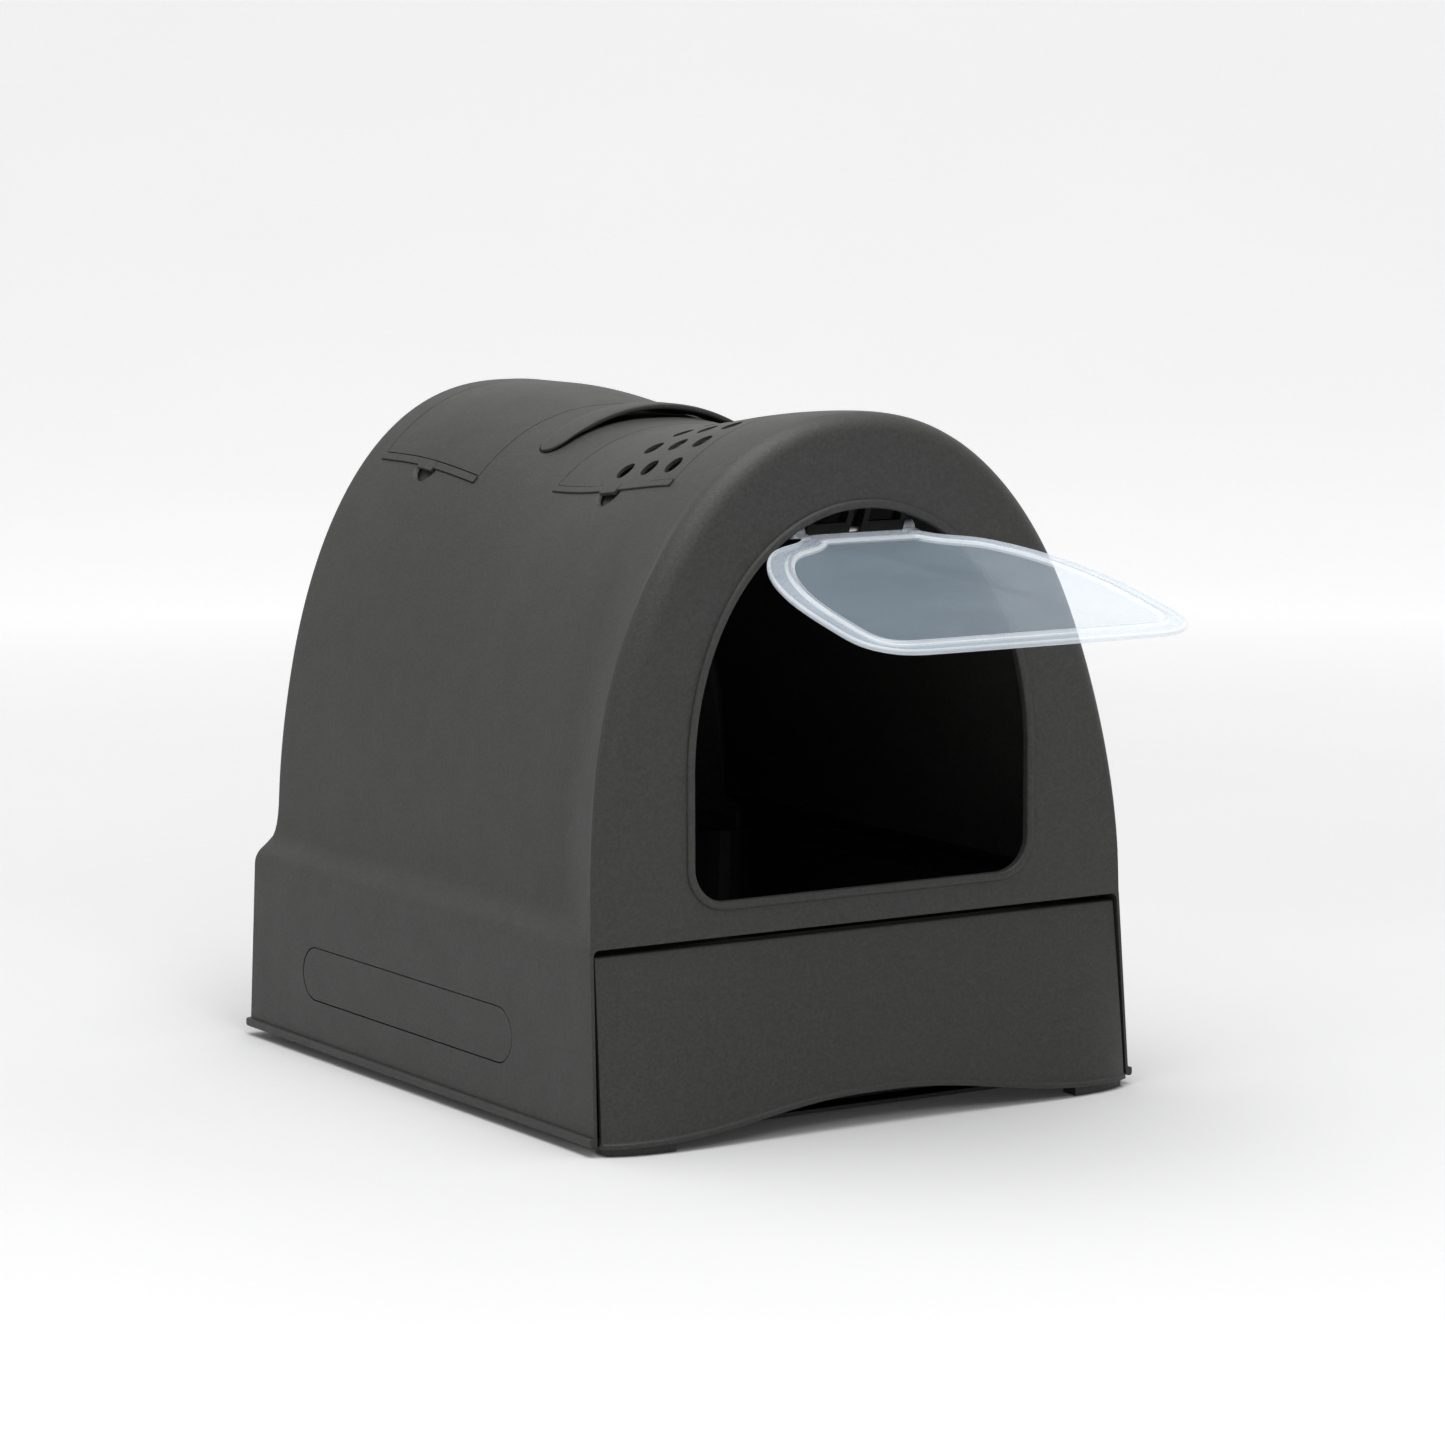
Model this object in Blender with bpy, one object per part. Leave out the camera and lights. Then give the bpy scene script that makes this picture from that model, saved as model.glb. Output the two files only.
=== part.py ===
"""Hooded cat litter box: a domed hood over a base tray, a pull-out litter drawer and a swinging entry flap.

Metres, +Z up. The front faces -Y and the floor is Z = 0, with the origin at the middle of the footprint.
"""

from math import cos, pi, radians, sin, sqrt

import bmesh
import bpy
import numpy as np
from mathutils import Matrix, Vector

# ---------------------------------------------------------------- driving dimensions
WALL = 0.0025            # moulded wall of the hood, the tray and the drawer
FRONT_WALL = 0.003       # the hood's face round the entry
GAP = 0.0003             # clearance between pieces that touch
LIP_HALF = 0.200         # half width of the hood over its bottom lip
LIP_LOW, LIP_HIGH = 0.006, 0.0115
SKIRT_LOW_X = 0.1972     # half width of the skirt at its foot
SKIRT_TOP_X = 0.1945     # half width of the skirt at the shoulder
SKIRT_TOP_Z = 0.123
DOME_X = 0.1768          # half width of the dome where it leaves the shoulder
DOME_Z = 0.137
CREST_Z = 0.434
SADDLE = 0.0175          # how far the crest dips between its two ends
FRONT_Y, REAR_Y = -0.2195, 0.2225
FRONT_FOOT_Y, REAR_FOOT_Y = -0.2275, 0.2275
DOME_POWER = 2.05        # the dome's section is a superellipse
ENTRY_HALF = 0.122       # the cat's entry
ENTRY_LOW, ENTRY_SPRING, ENTRY_TOP = 0.144, 0.220, 0.3765
ENTRY_POWER = 2.05
ENTRY_BEAD = 0.0052
DRAWER_TOP = 0.1228      # upper edge of the drawer opening
PANEL_TOP = 0.1183
PANEL_HALF = 0.1905
PANEL_BULGE = 0.0128
PANEL_LOW = 0.0047
PANEL_WAVE = 0.0159      # height of the finger arch in the drawer front's lower edge
PANEL_WAVE_HALF = 0.1034
PAN_LOW, PAN_TOP = 0.009, 0.112
PAN_RIM_X, PAN_FRONT_Y, PAN_REAR_Y = 0.1825, -0.2145, 0.2080
FLAP_Y, FLAP_Z = -0.205, 0.3625
FLAP_OPEN = radians(76)
FLAP_LENGTH = 0.2095
FLAP_SHEET = 0.0016
ROD_RADIUS = 0.0020
FILTER_LID = (0.1015, -0.1600, -0.0190)     # half width, front and rear edge
STORAGE_LID = (0.1080, 0.0715, 0.1960)
LID_SEAM = 0.0006
VENT_RADIUS = 0.0070
VENT_X = (0.0878, 0.0672, 0.0457, 0.0230, 0.0)
VENT_PITCH_Y = 0.0284
VENT_FRONT_Y = -0.1417
HINGE_LIFT = 0.0055      # lid hinge axes stand this far above the dome
HINGE_HALF, EAR_WIDE = 0.014, 0.006
PIN_RADIUS, EYE_RADIUS, BARREL_RADIUS = 0.0015, 0.0018, 0.0036
SCOOP_RADIUS = 0.0115    # finger scoop at each lid's free edge
CRADLE_HALF, CRADLE_FRONT, CRADLE_REAR = 0.0965, -0.1545, -0.0245
BIN_HALF, BIN_FRONT, BIN_REAR, BIN_FLOOR = 0.0980, 0.0800, 0.1875, 0.345
STRAP_Y, STRAP_HALF_Y, STRAP_HALF_X = 0.031, 0.0125, 0.080
STRAP_TOP_Z, STRAP_ARC = 0.4275, 0.130
STRAP_THICK, STRAP_END_THICK = 0.0032, 0.0022
SCREW_X, SCREW_RADIUS = 0.071, 0.0013
LATCH_Y, LATCH_Z = 0.0113, 0.0553
LATCH_HALF_LONG, LATCH_HALF_TALL = 0.1388, 0.0178
LATCH_SEAM, POST_RADIUS = 0.0006, 0.004
TRAY_X, TRAY_FRONT_Y, TRAY_REAR_Y, TRAY_TOP = 0.1885, -0.2068, 0.2165, 0.1242
GLIDE_LOW = 0.0006       # the drawer front's glides just clear the floor
FOOT_HIGH = 0.004


# ---------------------------------------------------------------- materials
def material(name, colour, roughness, alpha=1.0):
    made = bpy.data.materials.new(name)
    made.use_nodes = True
    shader = made.node_tree.nodes["Principled BSDF"]
    shader.inputs["Base Color"].default_value = (*colour, 1.0)
    shader.inputs["Roughness"].default_value = roughness
    shader.inputs["Alpha"].default_value = alpha
    made.diffuse_color = (*colour, alpha)
    return made


# ---------------------------------------------------------------- mesh helpers
def solid(name, points, faces, finish, smooth_under=35):
    """A closed mesh object with its faces turned outwards."""
    mesh = bpy.data.meshes.new(name)
    mesh.from_pydata([tuple(p) for p in points], [], [tuple(f) for f in faces])
    work = bmesh.new()
    work.from_mesh(mesh)
    bmesh.ops.triangulate(work, faces=[f for f in work.faces if len(f.verts) > 4])
    bmesh.ops.recalc_face_normals(work, faces=work.faces)
    if work.calc_volume(signed=True) < 0:
        bmesh.ops.reverse_faces(work, faces=work.faces)
    work.to_mesh(mesh)
    work.free()
    mesh.shade_smooth()
    mesh.set_sharp_from_angle(angle=radians(smooth_under))
    made = bpy.data.objects.new(name, mesh)
    bpy.context.scene.collection.objects.link(made)
    if finish:
        mesh.materials.append(finish)
    return made


def tool(name, points, faces):
    """A helper solid that a Boolean cuts with or adds: it is left out of the model."""
    made = solid(name, points, faces, None)
    made.hide_render = True
    made.display_type = "WIRE"
    return made


def boolean(target, other, operation):
    step = target.modifiers.new(other.name, "BOOLEAN")
    step.operation = operation
    step.solver = "EXACT"
    step.object = other
    return target


def loft(rings, ladder=False):
    """Points and faces of a closed skin through rings of equal length; ladder caps join mirrored points."""
    count = len(rings[0])
    points = [p for ring in rings for p in ring]
    faces = []
    for i in range(len(rings) - 1):
        for j in range(count):
            k = (j + 1) % count
            faces.append((i * count + j, i * count + k, (i + 1) * count + k, (i + 1) * count + j))
    for base in (0, (len(rings) - 1) * count):
        if not ladder:
            faces.append(tuple(base + j for j in range(count)))
            continue
        for j in range((count - 1) // 2):
            far = count - 1 - j
            corners = dict.fromkeys((base + j, base + j + 1, base + far - 1, base + far))
            faces.append(tuple(corners))
    return points, faces


def prism(outline, axis, low, high):
    """Points and faces of an outline extruded along one axis; the outline holds the other two coordinates."""
    rings = []
    for level in (low, high):
        rings.append([tuple(np.insert(np.array(p, float), axis, level)) for p in outline])
    return loft(rings)


def circle(centre, radius, sides=16):
    turns = [2 * pi * (i + 0.5) / sides for i in range(sides)]
    return [(centre[0] + radius * cos(a), centre[1] + radius * sin(a)) for a in turns]


def rounded(half_x, half_y, radius, centre=(0.0, 0.0), steps=5):
    """A rounded rectangle, anticlockwise."""
    outline = []
    for corner in range(4):
        sx, sy = ((1, 1), (-1, 1), (-1, -1), (1, -1))[corner]
        for i in range(steps + 1):
            a = pi / 2 * (corner + i / steps)
            outline.append((
                centre[0] + sx * (half_x - radius) + radius * cos(a),
                centre[1] + sy * (half_y - radius) + radius * sin(a),
            ))
    return outline


def merged(parts):
    """Several separate closed skins as one, for a cutter."""
    points, faces = [], []
    for more_points, more_faces in parts:
        offset = len(points)
        points += list(more_points)
        faces += [tuple(offset + i for i in face) for face in more_faces]
    return points, faces


def box_skin(low, high):
    outline = [(low[0], low[1]), (high[0], low[1]), (high[0], high[1]), (low[0], high[1])]
    return prism(outline, 2, low[2], high[2])


def offset_ring(ring, distance):
    """A closed 2-D ring moved along its own normals; a positive distance shrinks an anticlockwise ring."""
    ring = np.array(ring, float)
    before, after = np.roll(ring, 1, axis=0), np.roll(ring, -1, axis=0)
    first, second = ring - before, after - ring
    first /= np.linalg.norm(first, axis=1)[:, None]
    second /= np.linalg.norm(second, axis=1)[:, None]
    normal = np.stack([-first[:, 1] - second[:, 1], first[:, 0] + second[:, 0]], axis=1)
    length = np.linalg.norm(normal, axis=1)
    normal /= length[:, None]
    reach = np.broadcast_to(np.asarray(distance, float), length.shape) / np.maximum(length / 2, 0.4)
    return ring + normal * reach[:, None]


# ---------------------------------------------------------------- the dome's shape
def ease(low, high, value):
    t = min(max((value - low) / (high - low), 0.0), 1.0)
    return t * t * (3 - 2 * t)


def dome_size(y):
    """Half width, foot height, crest height and side power of the dome's section at this y."""
    flare = min(max((-0.155 - y) / 0.0645, 0.0), 1.0) ** 2
    dip = sin(pi * min(max((y + 0.205) / 0.375, 0.0), 1.0)) ** 2
    half = DOME_X + (SKIRT_TOP_X - 0.0003 - DOME_X) * flare
    foot = DOME_Z + (SKIRT_TOP_Z + 0.0015 - DOME_Z) * flare
    return half, foot, CREST_Z - SADDLE * dip, 2.4 - 0.2 * flare


def dome_height(x, y):
    half, foot, crest, side = dome_size(y)
    rise = 1 - min(abs(x) / half, 1.0) ** side
    return foot + (crest - foot) * rise ** (1 / DOME_POWER)


def dome_frame(x, y):
    """The point on the dome above (x, y) and its outward normal."""
    step = 1e-4
    slope_x = (dome_height(x + step, y) - dome_height(x - step, y)) / (2 * step)
    slope_y = (dome_height(x, y + step) - dome_height(x, y - step)) / (2 * step)
    return Vector((x, y, dome_height(x, y))), Vector((-slope_x, -slope_y, 1.0)).normalized()


def dome_point(x, y, depth):
    point, normal = dome_frame(x, y)
    return point - normal * depth


def dome_patch(half, front, rear, outer, inner, across=18, along=6, crown=0.145):
    """A curved slab that follows the dome between two depths below it."""
    reach = np.arcsin(half / crown)
    xs = [crown * sin(a) for a in np.linspace(-reach, reach, across + 1)]
    ys = np.linspace(front, rear, along + 1)
    rings = []
    for y in ys:
        top = [dome_point(x, y, outer) for x in xs]
        low = [dome_point(x, y, inner) for x in reversed(xs)]
        rings.append(top + low)
    return loft(rings, ladder=True)


def arch_points(y, count=44):
    half, foot, crest, side = dome_size(y)
    points = []
    for i in range(count + 1):
        a = pi - pi * i / count
        x = half * abs(cos(a)) ** (2 / side) * (1 if cos(a) >= 0 else -1)
        z = foot + (crest - foot) * sin(a) ** (2 / DOME_POWER) if 0 < i < count else foot
        points.append((x, z))
    return points


def hood_section(y, low):
    """The hood's section, clockwise from the left foot over the dome to the right foot."""
    draft = (SKIRT_LOW_X - SKIRT_TOP_X) / (SKIRT_TOP_Z - LIP_LOW)
    foot_x = SKIRT_TOP_X + draft * (SKIRT_TOP_Z - low)
    arch = arch_points(y)
    return [(-foot_x, low), (-SKIRT_TOP_X, SKIRT_TOP_Z)] + arch + [(SKIRT_TOP_X, SKIRT_TOP_Z), (foot_x, low)]


def leaned(y, z):
    """The skirt's front and rear lean outwards below the shoulder."""
    share = max(SKIRT_TOP_Z - z, 0.0) / (SKIRT_TOP_Z - LIP_LOW)
    if y < 0:
        return y * (1 + share * (FRONT_FOOT_Y / FRONT_Y - 1))
    return y * (1 + share * (REAR_FOOT_Y / REAR_Y - 1))


def hood_ring(y, low, inset=0.0, rounding=None, turn=0.0, sign=1):
    """One ring of the hood. With rounding, each point turns in towards the end face by its own radius."""
    section = np.array(hood_section(y, low))
    inward = np.full(len(section), float(inset))
    ys = np.full(len(section), float(y))
    if rounding is not None:
        radii = np.array([rounding(z) for x, z in section])
        inward += radii * (1 - cos(turn))
        ys += sign * radii * (1 - sin(turn))
    moved = offset_ring(section[::-1], inward)[::-1]
    moved[0, 1] = moved[-1, 1] = low
    return [(x, leaned(v, z), z) for (x, z), v in zip(moved, ys)]


def front_radius(z):
    return 0.0006 + 0.0135 * ease(0.125, 0.30, z)


def rear_radius(z):
    return 0.0020 + 0.0040 * ease(0.125, 0.25, z)


# ---------------------------------------------------------------- the entry's shape
def entry_outline(grow=0.0, steps=22):
    """The entry opening as an outline in x and z, grown outwards by a margin."""
    half, low = ENTRY_HALF + grow, ENTRY_LOW - grow
    rise = ENTRY_TOP - ENTRY_SPRING + grow
    corner = 0.022 + grow
    outline = []
    for i in range(steps + 1):
        a = pi * i / steps
        x = half * abs(cos(a)) ** (2 / ENTRY_POWER) * (1 if cos(a) >= 0 else -1)
        outline.append((x, ENTRY_SPRING + rise * max(sin(a), 0.0) ** (2 / ENTRY_POWER)))
    for centre, start in (((-half + corner, low + corner), pi), ((half - corner, low + corner), 1.5 * pi)):
        for i in range(6):
            a = start + pi / 2 * i / 5
            outline.append((centre[0] + corner * cos(a), centre[1] + corner * sin(a)))
    return outline


def entry_half_width(z):
    if z <= ENTRY_SPRING:
        return ENTRY_HALF
    rise = min((z - ENTRY_SPRING) / (ENTRY_TOP - ENTRY_SPRING), 1.0)
    return ENTRY_HALF * (1 - rise**ENTRY_POWER) ** (1 / ENTRY_POWER)


# ---------------------------------------------------------------- hood
def stadium(centre_y, centre_z, half_long, half_tall, steps=8):
    """A pill outline in y and z."""
    outline = []
    for side in (1, -1):
        for i in range(steps + 1):
            a = -side * pi / 2 + pi * i / steps
            outline.append((
                centre_y + side * (half_long - half_tall) + half_tall * cos(a),
                centre_z + half_tall * sin(a),
            ))
    return outline


def skirt_x(z):
    """Half width of the skirt's outer face at this height."""
    return SKIRT_TOP_X + (SKIRT_LOW_X - SKIRT_TOP_X) * (SKIRT_TOP_Z - z) / (SKIRT_TOP_Z - LIP_LOW)


def hood_skin(inset, low, rear_y, front_y, stations):
    """The hood's outer skin, or with an inset the hollow inside it."""
    quarter = [pi / 6 * i for i in range(4)]
    rear = [hood_ring(rear_y, low, inset, rear_radius, a, -1) for a in reversed(quarter)]
    front = [hood_ring(front_y, low, inset, front_radius, a, 1) for a in quarter]
    return loft(rear + [hood_ring(y, low, inset) for y in stations] + front, ladder=True)


def lip_skin():
    """The bead round the hood's foot, open at the front."""
    out_x, in_x = LIP_HALF, SKIRT_LOW_X - 0.0015
    out_y, in_y = REAR_FOOT_Y + 0.0027, REAR_FOOT_Y - 0.0015
    front = FRONT_FOOT_Y - 0.0006
    outline = [
        (-out_x, front), (-in_x, front), (-in_x, in_y), (in_x, in_y),
        (in_x, front), (out_x, front), (out_x, out_y), (-out_x, out_y),
    ]
    return prism(outline, 2, LIP_LOW, LIP_HIGH)


def drawer_opening_skin():
    low, corner = -0.02, 0.004
    outline = []
    for side in (1, -1):
        half = skirt_x(DRAWER_TOP) - 0.0021
        centre = (side * (half - corner), DRAWER_TOP - corner)
        arc = [pi / 2 * i / 4 for i in range(5)]
        arc = arc if side == 1 else [pi / 2 + a for a in arc]
        outline += [(centre[0] + corner * cos(a), centre[1] + corner * sin(a)) for a in arc]
    foot = skirt_x(low) - 0.0021
    return prism(outline + [(-foot, low), (foot, low)], 1, -0.27, -0.209)


def local_prism(point, axes, outline, low, high):
    """An outline extruded along the third of three local axes."""
    rings = []
    for level in (low, high):
        rings.append([tuple(point + axes[0] * u + axes[1] * v + axes[2] * level) for u, v in outline])
    return loft(rings)


def edge_axes(lid):
    """The lid's lower left edge at its middle: the point, then out along the dome, along Y and up."""
    point, normal = dome_frame(-lid[0], (lid[1] + lid[2]) / 2)
    normal = Vector((normal.x, 0.0, normal.z)).normalized()
    return point, (Vector((-normal.z, 0.0, normal.x)), Vector((0.0, 1.0, 0.0)), normal)


def strap_top(x):
    return STRAP_TOP_Z - STRAP_ARC + sqrt(STRAP_ARC**2 - x * x)


def strap_end_axes(side):
    """Where a strap end is screwed down: the point on the strap's top, and across, along and up."""
    x = side * SCREW_X
    normal = Vector((x / STRAP_ARC, 0.0, sqrt(1 - (x / STRAP_ARC) ** 2)))
    point = Vector((x, STRAP_Y, strap_top(x)))
    return point, (Vector((normal.z, 0.0, -normal.x)), Vector((0.0, 1.0, 0.0)), normal)


def hinge_sides(lid):
    """The hinge's Y range on the lid, and those of the two ears on the hood."""
    middle = (lid[1] + lid[2]) / 2
    inner, outer = middle + HINGE_HALF, middle + HINGE_HALF + EAR_WIDE
    return (2 * middle - inner + GAP, inner - GAP), ((inner, outer), (2 * middle - outer, 2 * middle - inner))


def hinge_point(lid):
    """The hinge axis of a lid in its middle section, with the dome's tangent and normal there."""
    point, normal = dome_frame(lid[0] + 0.0015, (lid[1] + lid[2]) / 2)
    normal = Vector((normal.x, 0.0, normal.z)).normalized()
    return point + normal * HINGE_LIFT, Vector((normal.z, 0.0, -normal.x)), normal


def barrel_skin(lid, low, high):
    axis = hinge_point(lid)[0]
    return prism(circle((axis.x, axis.z), BARREL_RADIUS), 1, low, high)


def web_skin(lid, low, high, side):
    """The web from a hinge barrel down to the lid (side -1) or to the hood (side +1)."""
    axis, tangent, normal = hinge_point(lid)
    middle = (low + high) / 2
    reaches = (0.0085, 0.0035) if side > 0 else (0.0138, 0.0084)
    feet = [axis.x + side * reach for reach in reaches]
    outline = [(x, dome_height(x, middle) - 0.0020) for x in feet]
    for along, up in ((side * 0.0006, -0.0026), (side * 0.0022, 0.0021)):
        place = axis + tangent * along + normal * up
        outline.append((place.x, place.z))
    return prism(outline, 1, low + 0.0004, high - 0.0004)


def bore_skin(lid, radius):
    axis = hinge_point(lid)[0]
    middle = (lid[1] + lid[2]) / 2
    reach = HINGE_HALF + EAR_WIDE + 0.004
    return prism(circle((axis.x, axis.z), radius), 1, middle - reach, middle + reach)


def lid_opening_skin(lid):
    half, front, rear = lid
    return dome_patch(half + LID_SEAM, front - LID_SEAM, rear + LID_SEAM, -0.004, 0.007, across=19)


def make_hood(finish):
    stations = [0.20 - 0.03 * i for i in range(12)] + [-0.153, -0.170, -0.184, -0.196]
    hood = solid("hood_shell", *hood_skin(0.0, LIP_LOW + 0.0006, REAR_Y, FRONT_Y, stations), finish)
    boolean(hood, tool("hood_lip", *lip_skin()), "UNION")
    bead = prism(entry_outline(ENTRY_BEAD), 1, FRONT_Y - 0.0022, FRONT_Y + 0.0015)
    boolean(hood, tool("entry_bead", *bead), "UNION")
    hollow = hood_skin(WALL, -0.02, REAR_Y - WALL, FRONT_Y + FRONT_WALL, stations)
    boolean(hood, tool("hood_hollow", *hollow), "DIFFERENCE")
    boolean(hood, tool("drawer_opening", *drawer_opening_skin()), "DIFFERENCE")
    boolean(hood, tool("entry_opening", *prism(entry_outline(), 1, -0.25, -0.20)), "DIFFERENCE")
    lids = (FILTER_LID, STORAGE_LID)
    boolean(hood, tool("lid_openings", *merged([lid_opening_skin(lid) for lid in lids])), "DIFFERENCE")
    scoops = []
    for lid in lids:
        point, axes = edge_axes(lid)
        scoops.append(local_prism(point, axes, circle((0.0, 0.0), SCOOP_RADIUS, 20), -0.010, 0.006))
    boolean(hood, tool("finger_scoops", *merged(scoops)), "DIFFERENCE")
    ears = [(lid, ear) for lid in lids for ear in hinge_sides(lid)[1]]
    webs = [web_skin(lid, low, high, 1) for lid, (low, high) in ears]
    barrels = [barrel_skin(lid, low, high) for lid, (low, high) in ears]
    boolean(hood, tool("ear_webs", *merged(webs)), "UNION")
    boolean(hood, tool("ear_barrels", *merged(barrels)), "UNION")
    boolean(hood, tool("ear_bores", *merged([bore_skin(lid, EYE_RADIUS) for lid in lids])), "DIFFERENCE")
    holes = []
    for side in (1, -1):
        point, axes = strap_end_axes(side)
        holes.append(local_prism(point, axes, circle((0.0, 0.0), SCREW_RADIUS + GAP), -0.016, 0.004))
    boolean(hood, tool("strap_seats", *strap_skin(0.0005, 0.004)), "DIFFERENCE")
    boolean(hood, tool("strap_screw_holes", *merged(holes)), "DIFFERENCE")
    windows = prism(stadium(LATCH_Y, LATCH_Z, LATCH_HALF_LONG, LATCH_HALF_TALL), 0, -0.21, 0.21)
    boolean(hood, tool("latch_windows", *windows), "DIFFERENCE")
    return hood


# ---------------------------------------------------------------- lids
def move_origin(made, point):
    """Puts a moving piece's origin on its joint's axis."""
    made.data.transform(Matrix.Translation(-point))
    made.location = point


def make_lid(name, lid, finish, vents):
    cover = solid(name, *dome_patch(lid[0], lid[1], lid[2], 0.0, 0.0022), finish)
    point, axes = edge_axes(lid)
    tab = rounded(0.0035, 0.0105, 0.0015, (0.0, 0.0), 3)
    boolean(cover, tool(name + "_tab", *local_prism(point, axes, tab, -0.0018, 0.0009)), "UNION")
    if vents:
        boolean(cover, tool(name + "_vents", *merged(vents)), "DIFFERENCE")
    low, high = hinge_sides(lid)[0]
    boolean(cover, tool(name + "_web", *web_skin(lid, low, high, -1)), "UNION")
    boolean(cover, tool(name + "_barrel", *barrel_skin(lid, low, high)), "UNION")
    boolean(cover, tool(name + "_bore", *bore_skin(lid, EYE_RADIUS)), "DIFFERENCE")
    axis = hinge_point(lid)[0]
    move_origin(cover, axis)
    return cover


def vent_skins():
    found = []
    for x in sorted({side * x for x in VENT_X for side in (1, -1)}):
        for row in range(3):
            point, normal = dome_frame(x, VENT_FRONT_Y + row * VENT_PITCH_Y)
            across = Vector((normal.z, 0.0, -normal.x)).normalized()
            axes = (across, normal.cross(across), normal)
            found.append(local_prism(point, axes, circle((0.0, 0.0), VENT_RADIUS, 12), -0.006, 0.004))
    return found


def make_lid_pin(name, lid, finish):
    axis = hinge_point(lid)[0]
    middle = (lid[1] + lid[2]) / 2
    reach = HINGE_HALF + EAR_WIDE
    pin = prism(circle((axis.x, axis.z), PIN_RADIUS), 1, middle - reach, middle + reach)
    return solid(name, *pin, finish)


# ---------------------------------------------------------------- under the lids
def make_filter_cradle(finish):
    half, front, rear = FILTER_LID
    flange = dome_patch(half + 0.010, front - 0.010, rear + 0.010, 0.0036, 0.0056)
    cradle = solid("filter_cradle", *flange, finish)
    body = dome_patch(CRADLE_HALF, CRADLE_FRONT, CRADLE_REAR, 0.0046, 0.0165)
    boolean(cradle, tool("cradle_body", *body), "UNION")
    pocket = dome_patch(CRADLE_HALF - WALL, CRADLE_FRONT + WALL, CRADLE_REAR - WALL, 0.0, 0.0145)
    boolean(cradle, tool("cradle_pocket", *pocket), "DIFFERENCE")
    slots = []
    for i in range(7):
        x = (i - 3) * 0.0235
        low, high = (x - 0.008, CRADLE_FRONT + 0.010, 0.33), (x + 0.008, CRADLE_REAR - 0.010, 0.45)
        slots.append(box_skin(low, high))
    boolean(cradle, tool("cradle_slots", *merged(slots)), "DIFFERENCE")
    return cradle


def make_carbon_filter(finish):
    edge = WALL + 0.0012
    pad = dome_patch(CRADLE_HALF - edge, CRADLE_FRONT + edge, CRADLE_REAR - edge, 0.0062, 0.0142)
    return solid("carbon_filter", *pad, finish)


def dome_block(half, front, rear, depth, floor):
    """A block with a flat floor whose top follows the dome at a depth below it."""
    xs = [half * sin(pi / 2 * i / 8) for i in range(-8, 9)]
    rings = []
    for y in np.linspace(front, rear, 7):
        top = [(x, y, dome_height(x, y) - depth / dome_frame(x, y)[1].z) for x in xs]
        rings.append(top + [(half, y, floor), (-half, y, floor)])
    return loft(rings)


def make_storage_bin(finish):
    half, front, rear = STORAGE_LID
    flange = dome_patch(half + 0.010, front - 0.0095, rear + 0.0095, 0.0036, 0.0056)
    made = solid("storage_bin", *flange, finish)
    boolean(made, tool("bin_body", *dome_block(BIN_HALF, BIN_FRONT, BIN_REAR, 0.0046, BIN_FLOOR)), "UNION")
    hollow = dome_block(BIN_HALF - WALL, BIN_FRONT + WALL, BIN_REAR - WALL, -0.002, BIN_FLOOR + WALL)
    boolean(made, tool("bin_hollow", *hollow), "DIFFERENCE")
    return made


# ---------------------------------------------------------------- carry handle
def strap_skin(grow=0.0, above=0.0):
    """The strap along its arc, with rounded ends; grown, it is the room that the strap takes in the hood."""
    rings = []
    half_x, half_y = STRAP_HALF_X + grow, STRAP_HALF_Y + grow
    for x in (half_x * sin(pi / 2 * i / 12) for i in range(-12, 13)):
        thick = STRAP_THICK - (STRAP_THICK - STRAP_END_THICK) * ease(0.050, 0.068, abs(x)) + grow
        end = max(abs(x) - (half_x - half_y), 0.0)
        half = max(sqrt(max(half_y**2 - end**2, 0.0)), 0.0012)
        normal = Vector((x / STRAP_ARC, 0.0, sqrt(1 - (x / STRAP_ARC) ** 2)))
        arc = Vector((x, STRAP_Y, strap_top(x)))
        top, low = arc + normal * above, arc - normal * thick
        middle = low * 0.4 + top * 0.6
        bevel = min(0.0010, half * 0.5)
        rings.append([
            (low.x, STRAP_Y - half + bevel, low.z), (low.x, STRAP_Y + half - bevel, low.z),
            (middle.x, STRAP_Y + half, middle.z),
            (top.x, STRAP_Y + half - bevel, top.z), (top.x, STRAP_Y - half + bevel, top.z),
            (middle.x, STRAP_Y - half, middle.z),
        ])
    return loft(rings)


def make_handle(finish, metal):
    handle = solid("carry_handle", *strap_skin(), finish)
    holes = []
    for side, name in ((-1, "left"), (1, "right")):
        point, axes = strap_end_axes(side)
        holes.append(local_prism(point, axes, circle((0.0, 0.0), SCREW_RADIUS + GAP), -0.010, -0.0007))
        head = local_prism(point, axes, circle((0.0, 0.0), 0.0042), -0.0088, -0.0062)
        screw = solid("handle_screw_" + name, *head, metal)
        shank = local_prism(point, axes, circle((0.0, 0.0), SCREW_RADIUS), -0.0070, -0.0011)
        boolean(screw, tool("screw_shank_" + name, *shank), "UNION")
    boolean(handle, tool("handle_screw_holes", *merged(holes)), "DIFFERENCE")
    return handle


# ---------------------------------------------------------------- entry flap
def flap_half(length):
    """Half width of the flap at a distance from its hinge: it clears the entry through all of its swing."""
    reach = FLAP_Y - FRONT_Y + 0.0035
    drop = sqrt(max(length**2 - reach**2, 0.0))
    return entry_half_width(FLAP_Z - drop + 0.002) - 0.004


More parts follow.
